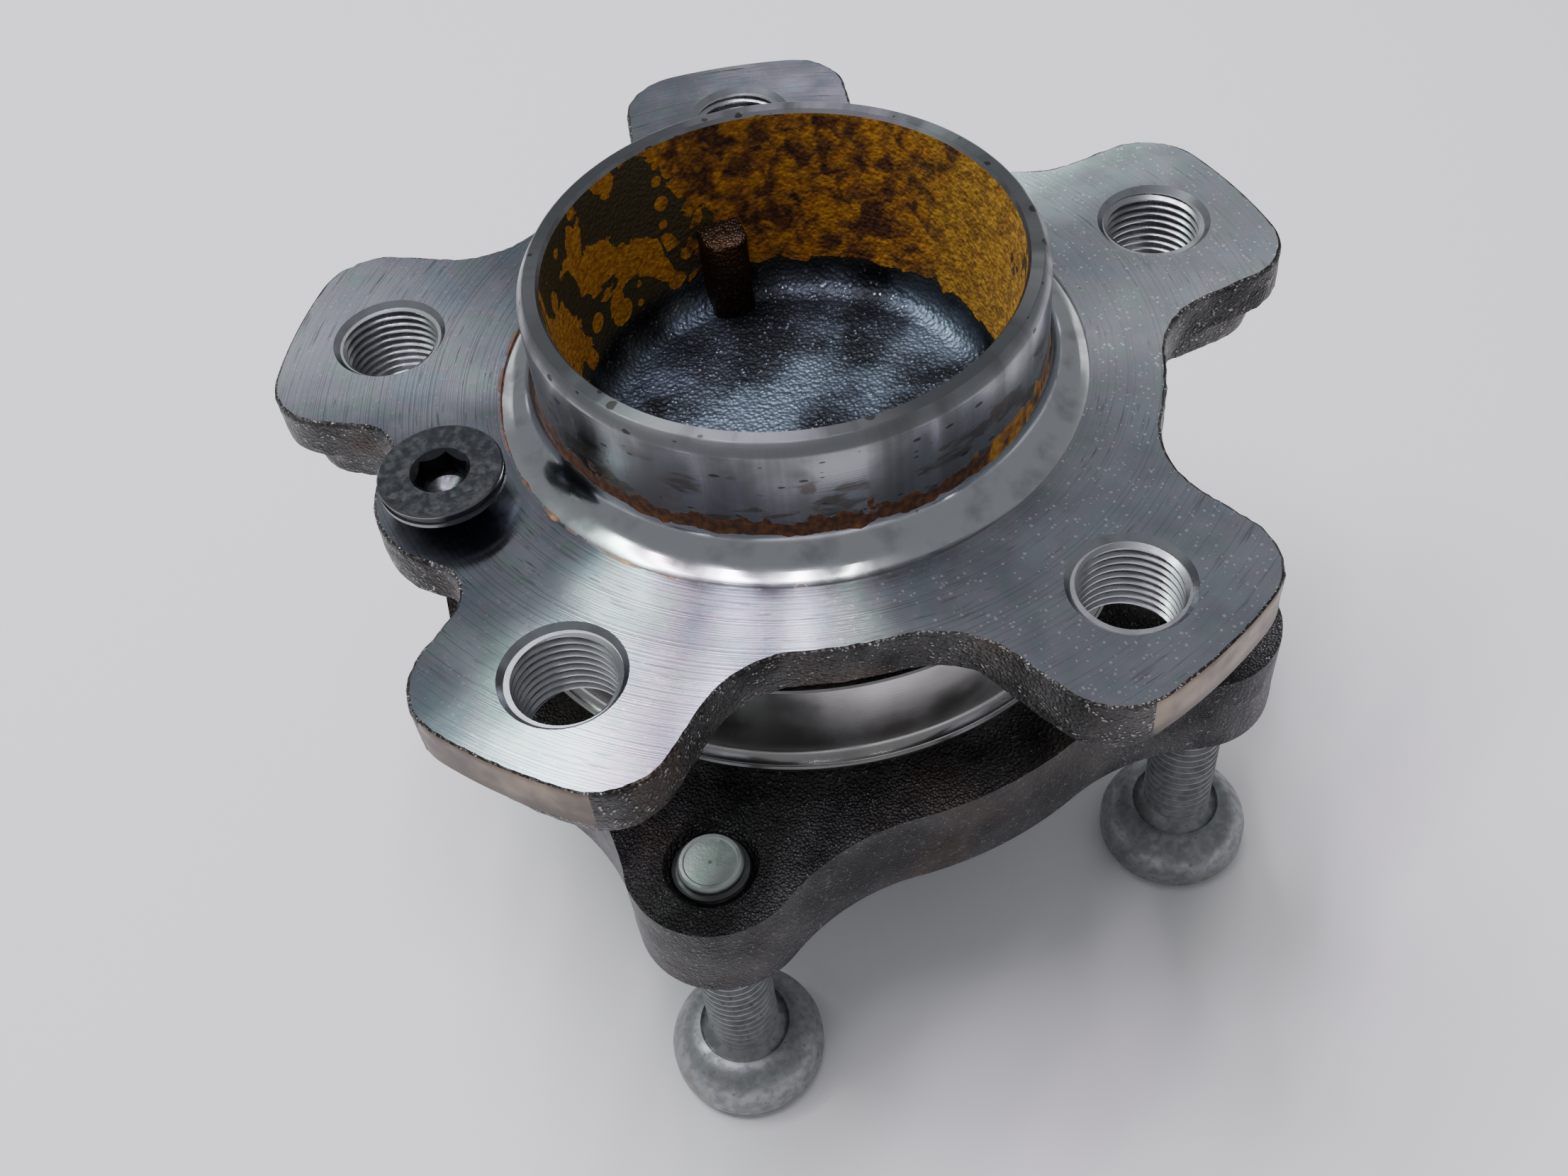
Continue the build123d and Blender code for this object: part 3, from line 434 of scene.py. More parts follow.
class Sheet:
    """Short calls that add and join the nodes of one tree."""

    def __init__(self, tree: ShaderNodeTree) -> None:
        self.tree = tree

    def put(self, socket: NodeSocket, value: Input) -> None:
        """Sets a socket to a value, or links it to another socket."""
        if isinstance(value, NodeSocket):
            self.tree.links.new(value, socket)
        elif isinstance(value, (tuple, list)) and len(value) == 3 and socket.type == "RGBA":
            socket.default_value = (*value, 1.0)
        else:
            socket.default_value = value

    def feed(self, node: Node, inputs: Inputs) -> Node:
        """Fills a node's inputs, by name or number, and gives the node back."""
        for key, value in inputs.items():
            self.put(node.inputs[key], value)
        return node

    def node(self, kind: str, inputs: Inputs, **options: object) -> Node:
        """Adds a node, sets its options and fills its inputs by name or number.

        Args:
            kind: the node's type name.
            inputs: value or socket for each input.
            options: the node's own settings.

        Returns:
            The new node.
        """
        node = self.tree.nodes.new(kind)
        for key, value in options.items():
            setattr(node, key, value)
        return self.feed(node, inputs)

    def maths(self, operation: str, first: Input, second: Input, clamp: bool = False) -> NodeSocket:
        """A Math node's result."""
        node = self.node("ShaderNodeMath", {0: first, 1: second}, operation=operation, use_clamp=clamp)
        return node.outputs[0]

    def plus(self, first: Input, second: Input, clamp: bool = False) -> NodeSocket:
        """The sum of two values."""
        return self.maths("ADD", first, second, clamp)

    def less(self, first: Input, second: Input) -> NodeSocket:
        """The first value less the second."""
        return self.maths("SUBTRACT", first, second)

    def times(self, first: Input, second: Input) -> NodeSocket:
        """The product of two values."""
        return self.maths("MULTIPLY", first, second)

    def highest(self, first: Input, second: Input) -> NodeSocket:
        """The greater of two values."""
        return self.maths("MAXIMUM", first, second)

    def vectors(self, operation: str, first: Input, second: Input) -> NodeSocket:
        """The vector made from two others."""
        return self.node("ShaderNodeVectorMath", {0: first, 1: second}, operation=operation).outputs[0]

    def scaled(self, vector: NodeSocket, factor: Input) -> NodeSocket:
        """A vector made longer by a factor."""
        return self.node("ShaderNodeVectorMath", {0: vector, "Scale": factor}, operation="SCALE").outputs[0]

    def ramp(self, value: Input, low: float, high: float, start: float = 0.0, end: float = 1.0) -> NodeSocket:
        """Brings a value from low and high to start and end, smoothly and clamped."""
        inputs = {0: value, 1: low, 2: high, 3: start, 4: end}
        return self.node("ShaderNodeMapRange", inputs, interpolation_type="SMOOTHSTEP").outputs[0]

    def mix(self, share: Input, first: Input, second: Input) -> NodeSocket:
        """Two colours mixed by a share of the second."""
        node = self.node("ShaderNodeMix", {0: share, 6: first, 7: second}, data_type="RGBA")
        return node.outputs[2]

    def blend(self, share: Input, first: Input, second: Input) -> NodeSocket:
        """Two values mixed by a share of the second."""
        return self.node("ShaderNodeMix", {0: share, 2: first, 3: second}, data_type="FLOAT").outputs[0]

    def noise(self, place: NodeSocket, size: float, detail: float = 3.0, warp: float = 0.0) -> NodeSocket:
        """Cloudy noise whose features are about a size in millimetres."""
        inputs = {"Vector": place, "Scale": 1.0 / size, "Detail": detail, "Distortion": warp}
        return self.node("ShaderNodeTexNoise", inputs).outputs["Fac"]

    def cells(self, place: NodeSocket, size: float) -> NodeSocket:
        """Distance to the middle of scattered cells about a size in millimetres apart."""
        return self.node("ShaderNodeTexVoronoi", {"Vector": place, "Scale": 1.0 / size}).outputs["Distance"]

    def join(self, x: Input, y: Input, z: Input) -> NodeSocket:
        """A vector from its three parts."""
        return self.node("ShaderNodeCombineXYZ", {0: x, 1: y, 2: z}).outputs[0]

    def bump(self, height: NodeSocket, distance: float) -> NodeSocket:
        """A normal from a height, whose full step is a distance in millimetres."""
        inputs = {"Height": height, "Distance": distance * MM, "Strength": 1.0}
        return self.node("ShaderNodeBump", inputs).outputs[0]

    def effect(self, group: ShaderNodeTree, inputs: Inputs) -> Node:
        """Places a shared effect with its own values."""
        node = self.tree.nodes.new("ShaderNodeGroup")
        node.node_tree = group
        return self.feed(node, inputs)


def new_effect(
    name: str, inputs: dict[str, str], outputs: dict[str, str]
) -> tuple[Sheet, dict[str, NodeSocket], Node]:
    """Starts a shared effect.

    Args:
        name: the effect's name.
        inputs: kind of each input, by name: Float, Color or Vector.
        outputs: kind of each output, by name.

    Returns:
        The sheet to draw it on, its input sockets by name, and the node that takes its outputs.
    """
    tree = bpy.data.node_groups.new(name, "ShaderNodeTree")
    for key, kind in inputs.items():
        tree.interface.new_socket(name=key, in_out="INPUT", socket_type=f"NodeSocket{kind}")
    for key, kind in outputs.items():
        tree.interface.new_socket(name=key, in_out="OUTPUT", socket_type=f"NodeSocket{kind}")
    taken = tree.nodes.new("NodeGroupInput")
    given = tree.nodes.new("NodeGroupOutput")
    return Sheet(tree), {key: taken.outputs[key] for key in inputs}, given


class Effects:
    """The effects that several finishes share, each built once."""

    def __init__(self) -> None:
        self.round_place = self._round_place()
        self.turning = self._turning()
        self.forging = self._forging()
        self.rust = self._rust()
        self.spots = self._spots()

    @staticmethod
    def _round_place() -> ShaderNodeTree:
        """Distance from the hub axis, direction round it, and height, in millimetres."""
        sheet, taken, given = new_effect(
            "round_place", {"Place": "Vector"}, {"Radius": "Float", "Height": "Float", "Direction": "Vector"}
        )
        parts = sheet.node("ShaderNodeSeparateXYZ", {0: taken["Place"]})
        flat = sheet.join(parts.outputs[0], parts.outputs[1], 0.0)
        radius = sheet.node("ShaderNodeVectorMath", {0: flat}, operation="LENGTH").outputs["Value"]
        direction = sheet.node("ShaderNodeVectorMath", {0: flat}, operation="NORMALIZE").outputs[0]
        sheet.feed(given, {"Radius": radius, "Height": parts.outputs[2], "Direction": direction})
        return sheet.tree

    @staticmethod
    def _turning() -> ShaderNodeTree:
        """Fine rings left by a turning tool, with short scratches along them."""
        sheet, taken, given = new_effect(
            "turning_marks",
            {"Across": "Float", "Direction": "Vector", "Pitch": "Float"},
            {"Height": "Float", "Scratches": "Float"},
        )
        lines = sheet.maths("DIVIDE", taken["Across"], taken["Pitch"])
        inputs = {"W": lines, "Scale": 1.0, "Detail": 2.0}
        rings = sheet.node("ShaderNodeTexNoise", inputs, noise_dimensions="1D").outputs["Fac"]
        parts = sheet.node("ShaderNodeSeparateXYZ", {0: sheet.scaled(taken["Direction"], 9.0)})
        along = sheet.join(parts.outputs[0], parts.outputs[1], sheet.times(lines, 0.8))
        scratches = sheet.ramp(sheet.noise(along, 1.0), 0.58, 0.7)
        sheet.feed(given, {"Height": rings, "Scratches": scratches})
        return sheet.tree

    @staticmethod
    def _forging() -> ShaderNodeTree:
        """The pitted skin of a forging, with glints on its high grains."""
        sheet, taken, given = new_effect(
            "forging_skin",
            {"Place": "Vector", "Grain": "Float", "Dark": "Color", "Light": "Color", "Glints": "Float"},
            {"Color": "Color", "Roughness": "Float", "Height": "Float"},
        )
        scaled = sheet.scaled(taken["Place"], sheet.maths("DIVIDE", 1.0, taken["Grain"]))
        lumps = sheet.noise(scaled, 2.2, 4.0, 0.4)
        grains = sheet.cells(scaled, 1.0)
        height = sheet.plus(sheet.times(lumps, 1.2), sheet.times(grains, -0.8))
        patches = sheet.noise(taken["Place"], 9.0, 4.0)
        glint = sheet.times(sheet.ramp(height, 0.4, 0.62), taken["Glints"])
        tone = sheet.plus(sheet.times(sheet.ramp(patches, 0.35, 0.7), 0.2), glint, clamp=True)
        colour = sheet.mix(tone, taken["Dark"], taken["Light"])
        sheet.feed(given, {"Color": colour, "Roughness": sheet.blend(tone, 0.46, 0.26), "Height": height})
        return sheet.tree

    @staticmethod
    def _rust() -> ShaderNodeTree:
        """Rust in shades from dark brown to orange and ochre, thick where its mask is high."""
        sheet, taken, given = new_effect(
            "rust",
            {"Place": "Vector", "Mask": "Float", "Ochre": "Float"},
            {"Color": "Color", "Cover": "Float", "Height": "Float"},
        )
        ragged = sheet.noise(taken["Place"], 3.2, 8.0, 0.6)
        fine = sheet.noise(taken["Place"], 0.8, 4.0)
        edge = sheet.plus(taken["Mask"], sheet.times(sheet.less(ragged, 0.5), 1.5))
        cover = sheet.ramp(edge, 0.46, 0.54)
        brown = sheet.mix(sheet.ramp(fine, 0.35, 0.7), (0.045, 0.018, 0.007), (0.15, 0.052, 0.012))
        orange = sheet.mix(sheet.ramp(fine, 0.3, 0.7), (0.36, 0.13, 0.01), (0.62, 0.3, 0.022))
        warm = sheet.plus(taken["Ochre"], sheet.times(sheet.less(ragged, 0.5), 2.2))
        colour = sheet.mix(sheet.ramp(warm, 0.2, 0.8), brown, orange)
        height = sheet.times(sheet.plus(fine, ragged), cover)
        sheet.feed(given, {"Color": colour, "Cover": cover, "Height": height})
        return sheet.tree

    @staticmethod
    def _spots() -> ShaderNodeTree:
        """Small scattered specks, such as dust or drops, most of them much smaller than the largest."""
        sheet, taken, given = new_effect(
            "specks", {"Place": "Vector", "Spacing": "Float", "Size": "Float"}, {"Mask": "Float"}
        )
        scale = sheet.maths("DIVIDE", 1.0, taken["Spacing"])
        cells = sheet.node("ShaderNodeTexVoronoi", {"Vector": taken["Place"], "Scale": scale})
        parts = sheet.node("ShaderNodeSeparateColor", {0: cells.outputs["Color"]})
        reach = sheet.times(taken["Size"], sheet.maths("POWER", parts.outputs[0], 4.0))
        inside = sheet.less(reach, cells.outputs["Distance"])
        sheet.feed(given, {"Mask": sheet.ramp(inside, 0.0, 0.05)})
        return sheet.tree


class Finish:
    """A material under way: its sheet, its surface and the place on the object in millimetres."""

    def __init__(self, name: str, effects: Effects, constants: Inputs) -> None:
        self.material = bpy.data.materials.new(name)
        self.material.use_nodes = True
        self.material.node_tree.nodes.clear()
        self.sheet = Sheet(self.material.node_tree)
        self.effects = effects
        self.surface = self.sheet.node("ShaderNodeBsdfPrincipled", constants)
        output = self.material.node_tree.nodes.new("ShaderNodeOutputMaterial")
        self.material.node_tree.links.new(self.surface.outputs[0], output.inputs[0])
        coordinates = self.material.node_tree.nodes.new("ShaderNodeTexCoord")
        self.place = self.sheet.scaled(coordinates.outputs["Object"], 1.0 / MM)
        around = self.sheet.effect(effects.round_place, {"Place": self.place})
        self.radius = around.outputs["Radius"]
        self.height = around.outputs["Height"]
        self.direction = around.outputs["Direction"]

    def wear(self, **inputs: Input) -> None:
        """Feeds the surface: color, roughness, metallic and normal."""
        names = {"color": "Base Color", "roughness": "Roughness", "metallic": "Metallic", "normal": "Normal"}
        self.sheet.feed(self.surface, {names[key]: value for key, value in inputs.items()})

    def run_tangent(self) -> None:
        """Lets the grain of a turned surface run round the hub axis, so that lights streak across it."""
        self.sheet.put(self.surface.inputs["Anisotropic Rotation"], 0.25)
        sheet = self.sheet
        world = sheet.node(
            "ShaderNodeVectorTransform",
            {0: sheet.vectors("CROSS_PRODUCT", (0.0, 0.0, 1.0), self.direction)},
            vector_type="VECTOR",
            convert_from="OBJECT",
            convert_to="WORLD",
        )
        sheet.put(self.surface.inputs["Tangent"], world.outputs[0])

    def marks(self, across: NodeSocket, pitch: float) -> Node:
        """The shared turning marks, in rings across a radius or height."""
        inputs = {"Across": across, "Direction": self.direction, "Pitch": pitch}
        return self.sheet.effect(self.effects.turning, inputs)

    def specks(self, place: NodeSocket, spacing: float, size: float) -> NodeSocket:
        """The shared specks, as a mask."""
        inputs = {"Place": place, "Spacing": spacing, "Size": size}
        return self.sheet.effect(self.effects.spots, inputs).outputs[0]

    def rust(self, mask: Input, ochre: Input) -> Node:
        """The shared rust, thick where its mask is high."""
        return self.sheet.effect(self.effects.rust, {"Place": self.place, "Mask": mask, "Ochre": ochre})

    def skin(self, grain: float, dark: Colour, light: Colour, glints: float) -> Node:
        """The shared skin of a forging."""
        inputs = {"Place": self.place, "Grain": grain, "Dark": dark, "Light": light, "Glints": glints}
        return self.sheet.effect(self.effects.forging, inputs)

    def facing(self, angle: float) -> NodeSocket:
        """How far a place lies towards an angle round the hub axis, from -1 to 1."""
        inputs = {0: self.direction, 1: (*heading(angle), 0.0)}
        return self.sheet.node("ShaderNodeVectorMath", inputs, operation="DOT_PRODUCT").outputs["Value"]


# Finishes


@dataclass(frozen=True)
class TurnedFace:
    """The turned wheel face: grey steel with ring marks, a faint rainbow sheen and a film of pale dust."""

    light: Colour = (0.4, 0.425, 0.46)
    dark: Colour = (0.26, 0.285, 0.32)
    film: Colour = (0.38, 0.405, 0.435)
    dusty_side: float = -35.0
    roughness: float = 0.16
    anisotropy: float = 1.0

    def build(self, effects: Effects) -> Material:
        """Builds the material."""
        finish = Finish("turned_face", effects, {"Anisotropic": self.anisotropy})
        sheet = finish.sheet
        finish.run_tangent()
        marks = finish.marks(finish.radius, 0.3)
        blotch = sheet.noise(finish.place, 9.0, 6.0)
        tone = sheet.mix(sheet.ramp(blotch, 0.3, 0.7), self.dark, self.light)
        fan = sheet.scaled(finish.direction, 26.0)
        hue = sheet.noise(sheet.vectors("ADD", fan, finish.place), 8.0, 3.0)
        sheen = sheet.mix(sheet.ramp(hue, 0.4, 0.48), (0.34, 0.56, 0.46), (0.58, 0.44, 0.62))
        sheen = sheet.mix(sheet.ramp(hue, 0.52, 0.6), sheen, (0.34, 0.46, 0.66))
        tone = sheet.mix(0.16, tone, sheen)
        lines = sheet.ramp(marks.outputs["Height"], 0.56, 0.7, 0.0, 0.4)
        tone = sheet.mix(lines, tone, (0.12, 0.13, 0.145))
        side = sheet.ramp(finish.facing(self.dusty_side), -0.1, 0.8)
        cloud = sheet.noise(finish.place, 5.0, 8.0, 0.3)
        film = sheet.times(side, sheet.ramp(cloud, 0.3, 0.7, 0.42, 0.72))
        specks = finish.specks(finish.place, 0.5, 0.5)
        dust = sheet.times(specks, sheet.ramp(film, 0.0, 0.5, 0.25, 1.0))
        dirt = sheet.times(marks.outputs["Scratches"], sheet.ramp(blotch, 0.36, 0.62))
        tone = sheet.mix(sheet.times(dirt, 0.75), tone, (0.08, 0.08, 0.09))
        tone = sheet.mix(sheet.times(film, 0.6), tone, self.film)
        tone = sheet.mix(dust, tone, (0.6, 0.62, 0.65))
        ring = sheet.times(sheet.ramp(finish.radius, 39.4, 38.6), sheet.ramp(finish.facing(160.0), -0.3, 0.6))
        rust = finish.rust(sheet.times(ring, 0.62), 0.15)
        stained = sheet.times(rust.outputs["Cover"], 0.8)
        rough = sheet.ramp(blotch, 0.3, 0.7, self.roughness, self.roughness + 0.03)
        rough = sheet.plus(rough, sheet.times(film, 0.2))
        finish.wear(
            color=sheet.mix(stained, tone, rust.outputs["Color"]),
            metallic=sheet.blend(stained, sheet.ramp(film, 0.0, 1.0, 1.0, 0.9), 0.2),
            roughness=sheet.plus(rough, sheet.times(stained, 0.3)),
            normal=sheet.bump(marks.outputs["Height"], 0.014),
        )
        return finish.material


@dataclass(frozen=True)
class Pilot:
    """The pilot's side and rim: ground steel, stained grey, with a ragged band of rust at its foot."""

    steel: Colour = (0.3, 0.31, 0.325)
    smear: Colour = (0.1, 0.07, 0.045)
    stain: Colour = (0.14, 0.14, 0.142)
    top: float = 17.8
    rust_top: float = 5.7
    rust_bottom: float = 2.0
    orange_side: float = -25.0

    def build(self, effects: Effects) -> Material:
        """Builds the material."""
        finish = Finish("pilot_steel", effects, {"Anisotropic": 0.8})
        sheet = finish.sheet
        finish.run_tangent()
        marks = finish.marks(finish.height, 0.3)
        smudge = sheet.noise(finish.place, 6.0, 7.0, 0.6)
        streak = sheet.noise(sheet.scaled(finish.direction, 30.0), 5.0, 4.0)
        cloud = sheet.blend(0.7, smudge, streak)
        tone = sheet.mix(sheet.ramp(cloud, 0.4, 0.62, 0.0, 0.8), self.steel, self.stain)
        # The rim's top is painted darker: painted shade standing for the dull reflection that it shows.
        rim = sheet.ramp(finish.height, self.top - 0.05, self.top - 0.01, 0.0, 0.6)
        tone = sheet.mix(rim, tone, (0.13, 0.14, 0.15))
        flat = sheet.vectors("MULTIPLY", finish.place, (1.0, 1.0, 2.6))
        smears = sheet.ramp(sheet.noise(flat, 7.0, 7.0, 0.4), 0.55, 0.62, 0.0, 0.6)
        tone = sheet.mix(sheet.times(smears, sheet.ramp(finish.height, 15.0, 12.0)), tone, self.smear)
        pits = finish.specks(flat, 2.2, 0.36)
        tone = sheet.mix(sheet.times(pits, 0.8), tone, (0.05, 0.045, 0.04))
        above = sheet.ramp(finish.height, self.rust_top + 4.0, self.rust_top - 4.0)
        below = sheet.ramp(finish.height, self.rust_bottom - 0.6, self.rust_bottom + 0.6)
        band = sheet.times(above, below)
        warm = sheet.ramp(finish.facing(self.orange_side), 0.4, 0.95, -0.12, 0.6)
        rust = finish.rust(sheet.times(band, 1.1), warm)
        cover = rust.outputs["Cover"]
        finish.wear(
            color=sheet.mix(cover, tone, rust.outputs["Color"]),
            metallic=sheet.blend(cover, 1.0, 0.0),
            roughness=sheet.blend(cover, sheet.ramp(cloud, 0.35, 0.65, 0.2, 0.38), 0.75),
            normal=sheet.bump(sheet.plus(marks.outputs["Height"], rust.outputs["Height"]), 0.01),
        )
        return finish.material


@dataclass(frozen=True)
class PolishedFoot:
    """The bright hollow ring round the pilot's foot, with rust at its outer edge."""

    steel: Colour = (0.56, 0.58, 0.6)
    orange_side: float = -25.0

    def build(self, effects: Effects) -> Material:
        """Builds the material."""
        finish = Finish("polished_foot", effects, {"Anisotropic": 0.3})
        sheet = finish.sheet
        finish.run_tangent()
        marks = finish.marks(finish.radius, 0.22)
        smudge = sheet.noise(finish.place, 4.0, 6.0)
        edge = sheet.ramp(finish.radius, 38.0, 38.5)
        side = sheet.ramp(finish.facing(170.0), -0.2, 0.9, 0.0, 0.7)
        top = sheet.ramp(finish.height, 2.6, 4.2)
        mask = sheet.highest(sheet.times(edge, side), sheet.times(top, 0.95))
        warm = sheet.ramp(finish.facing(self.orange_side), 0.4, 0.95, -0.1, 0.6)
        rust = finish.rust(mask, warm)
        spots = finish.specks(finish.place, 4.2, 0.24)
        cover = sheet.highest(rust.outputs["Cover"], sheet.times(spots, 0.8))
        tone = sheet.mix(sheet.ramp(smudge, 0.45, 0.75, 0.0, 0.7), self.steel, (0.3, 0.31, 0.33))
        finish.wear(
            color=sheet.mix(cover, tone, rust.outputs["Color"]),
            metallic=sheet.blend(cover, 1.0, 0.0),
            roughness=sheet.blend(cover, sheet.ramp(smudge, 0.3, 0.8, 0.1, 0.2), 0.7),
            normal=sheet.bump(marks.outputs["Height"], 0.004),
        )
        return finish.material


@dataclass(frozen=True)
class RustyCup:
    """Inside of the pilot: dark forged floor with pale blue patches of painted sheen, and walls rusted
    orange, brown and ochre.
    """

    dark: Colour = (0.012, 0.015, 0.018)
    light: Colour = (0.2, 0.25, 0.31)
    olive: Colour = (0.095, 0.083, 0.04)
    # Pale blue of the painted sheen on the floor, a painted reflection of light.
    painted_sheen: Colour = (0.16, 0.21, 0.27)
    rust_side: float = 30.0
    ochre_side: float = -15.0
    floor: float = -10.4

    def build(self, effects: Effects) -> Material:
        """Builds the material."""
        finish = Finish("rusty_cup", effects, {})
        sheet = finish.sheet
        skin = finish.skin(0.6, self.dark, self.light, 1.0)
        wander = sheet.less(sheet.noise(finish.place, 8.0, 6.0, 0.5), 0.5)
        wall = sheet.ramp(finish.height, self.floor + 2.6, self.floor + 7.0)
        base = sheet.mix(sheet.times(wall, 0.85), skin.outputs["Color"], self.olive)
        # Pale blue patches on the floor only, not on the walls: a painted sheen standing for light reflected
        # there.
        painted_sheen = sheet.ramp(sheet.noise(finish.place, 14.0, 6.0), 0.44, 0.64, 0.0, 0.6)
        base = sheet.mix(sheet.times(painted_sheen, sheet.less(1.0, wall)), base, self.painted_sheen)
        towards = sheet.ramp(sheet.plus(finish.facing(self.rust_side), wander), 0.4, 0.7)
        blots = sheet.ramp(sheet.noise(finish.place, 9.0, 6.0, 0.6), 0.48, 0.55)
        drops = finish.specks(finish.place, 3.6, 0.75)
        patches = sheet.highest(blots, sheet.times(drops, 0.9))
        mask = sheet.times(wall, sheet.plus(0.08, sheet.highest(towards, patches)))
        plain = sheet.ramp(finish.facing(self.rust_side), 0.5, 0.3, 0.48, 1.0)
        ochre_way = sheet.plus(finish.facing(self.ochre_side), sheet.times(wander, 0.9))
        ochre_share = sheet.ramp(ochre_way, 0.68, 1.0)
        ochre = sheet.highest(ochre_share, plain)
        rust = finish.rust(mask, ochre)
        mottle = sheet.ramp(sheet.noise(finish.place, 1.6, 6.0), 0.42, 0.6)
        yellow = sheet.mix(mottle, (0.16, 0.1, 0.018), (0.5, 0.3, 0.03))
        rusty = sheet.mix(sheet.times(ochre_share, 0.6), rust.outputs["Color"], yellow)
        cover = rust.outputs["Cover"]
        height = sheet.plus(skin.outputs["Height"], rust.outputs["Height"])
        finish.wear(
            color=sheet.mix(cover, base, rusty),
            metallic=sheet.blend(cover, sheet.ramp(wall, 0.0, 1.0, 0.8, 0.3), 0.0),
            roughness=sheet.blend(cover, skin.outputs["Roughness"], 0.78),
            normal=sheet.bump(height, 0.13),
        )
        return finish.material


@dataclass(frozen=True)
class ForgedSteel:
    """Forged skin left between machined faces."""

    name: str
    dark: Colour
    light: Colour
    glints: float
    grain: float
    depth: float
    brown: Colour = (0.09, 0.06, 0.035)
    brown_share: float = 0.35

    def build(self, effects: Effects) -> Material:
        """Builds the material."""
        finish = Finish(self.name, effects, {"Metallic": 0.8})
        sheet = finish.sheet
        skin = finish.skin(self.grain, self.dark, self.light, self.glints)
        tint = sheet.ramp(sheet.noise(finish.place, 16.0, 4.0), 0.5, 0.7, 0.0, self.brown_share)
        finish.wear(
            color=sheet.mix(tint, skin.outputs["Color"], self.brown),
            roughness=skin.outputs["Roughness"],
            normal=sheet.bump(skin.outputs["Height"], self.depth),
        )
        return finish.material


@dataclass(frozen=True)
class RingBand:
    """The turned ends of the arms: tan steel with level tool marks."""

    tan: Colour = (0.28, 0.222, 0.165)
    grey: Colour = (0.13, 0.112, 0.094)

    def build(self, effects: Effects) -> Material:
        """Builds the material."""
        finish = Finish("turned_rim", effects, {"Metallic": 0.85})
        sheet = finish.sheet
        marks = finish.marks(finish.height, 0.3)
        blotch = sheet.noise(finish.place, 7.0, 5.0)
        low = sheet.ramp(finish.height, -5.6, -3.6)
        tone = sheet.mix(sheet.ramp(blotch, 0.35, 0.7), self.tan, self.grey)
        tone = sheet.mix(low, (0.12, 0.1, 0.08), tone)
        finish.wear(
            color=tone,
            roughness=sheet.ramp(blotch, 0.3, 0.7, 0.36, 0.5),
            normal=sheet.bump(marks.outputs["Height"], 0.012),
        )
        return finish.material


@dataclass(frozen=True)
class BrightSteel:
    """Plain machined, ground or pressed steel."""

    name: str
    tone: Colour
    roughness: float
    spread: float = 0.1
    grain: float = 3.0
    depth: float = 0.004
    anisotropy: float = 0.0

    def build(self, effects: Effects) -> Material:
        """Builds the material."""
        finish = Finish(self.name, effects, {"Metallic": 1.0, "Anisotropic": self.anisotropy})
        sheet = finish.sheet
        if self.anisotropy > 0:
            finish.run_tangent()
        cloud = sheet.noise(finish.place, self.grain, 5.0)
        dull = tuple(0.72 * part for part in self.tone)
        marks = finish.marks(finish.height, 0.25)
        finish.wear(
            color=sheet.mix(sheet.ramp(cloud, 0.4, 0.72), self.tone, dull),
            roughness=sheet.ramp(cloud, 0.3, 0.7, self.roughness, self.roughness + self.spread),
            normal=sheet.bump(marks.outputs["Height"], self.depth),
        )
        return finish.material


@dataclass(frozen=True)
class BlackOxide:
    """Satin black screw with a little pale dust."""

    black: Colour = (0.05, 0.053, 0.058)
    dusty: Colour = (0.12, 0.125, 0.13)

    def build(self, effects: Effects) -> Material:
        """Builds the material."""
        finish = Finish("black_oxide", effects, {"Metallic": 0.9})
        sheet = finish.sheet
        dust = sheet.noise(finish.place, 0.9, 6.0)
        specks = finish.specks(finish.place, 0.9, 0.3)
        share = sheet.highest(sheet.ramp(dust, 0.5, 0.9, 0.0, 0.5), sheet.times(specks, 0.4))
        finish.wear(
            color=sheet.mix(share, self.black, self.dusty),
            roughness=sheet.ramp(dust, 0.3, 0.7, 0.2, 0.34),
            normal=sheet.bump(dust, 0.006),
        )
        return finish.material


@dataclass(frozen=True)
class ZincFlake:
    """Dull grey zinc flake on the mounting bolts, finely mottled, with brown dirt and pale ends."""

    light: Colour = (0.34, 0.354, 0.358)
    dark: Colour = (0.22, 0.23, 0.234)
    pale: Colour = (0.56, 0.62, 0.59)
    dirt: Colour = (0.13, 0.1, 0.07)
    end: float = -30.4

    def build(self, effects: Effects) -> Material:
        """Builds the material."""
        finish = Finish("zinc_flake", effects, {"Metallic": 0.7})
        sheet = finish.sheet
        mottle = sheet.noise(finish.place, 1.3, 6.0, 0.3)
        wide = sheet.noise(finish.place, 5.0, 4.0, 0.4)
        fine = sheet.noise(finish.place, 0.35, 4.0)
        tone = sheet.mix(sheet.ramp(sheet.blend(0.5, mottle, wide), 0.38, 0.6), self.dark, self.light)
        dirty = sheet.times(sheet.ramp(wide, 0.5, 0.7), 0.4)
        tone = sheet.mix(dirty, tone, self.dirt)
        pits = finish.specks(finish.place, 1.2, 0.3)
        tone = sheet.mix(sheet.times(pits, 0.5), tone, (0.1, 0.1, 0.1))
        tone = sheet.mix(sheet.ramp(finish.height, self.end - 0.25, self.end, 0.0, 0.9), tone, self.pale)
        shade = sheet.times(sheet.ramp(finish.height, -44.0, -38.0), sheet.ramp(finish.height, -30.5, -31.0))
        tone = sheet.mix(sheet.times(shade, 0.75), tone, (0.05, 0.05, 0.05))
        height = sheet.plus(sheet.times(mottle, 0.7), fine)
        finish.wear(
            color=tone,
            roughness=sheet.ramp(mottle, 0.35, 0.65, 0.5, 0.36),
            normal=sheet.bump(height, 0.03),
        )
        return finish.material


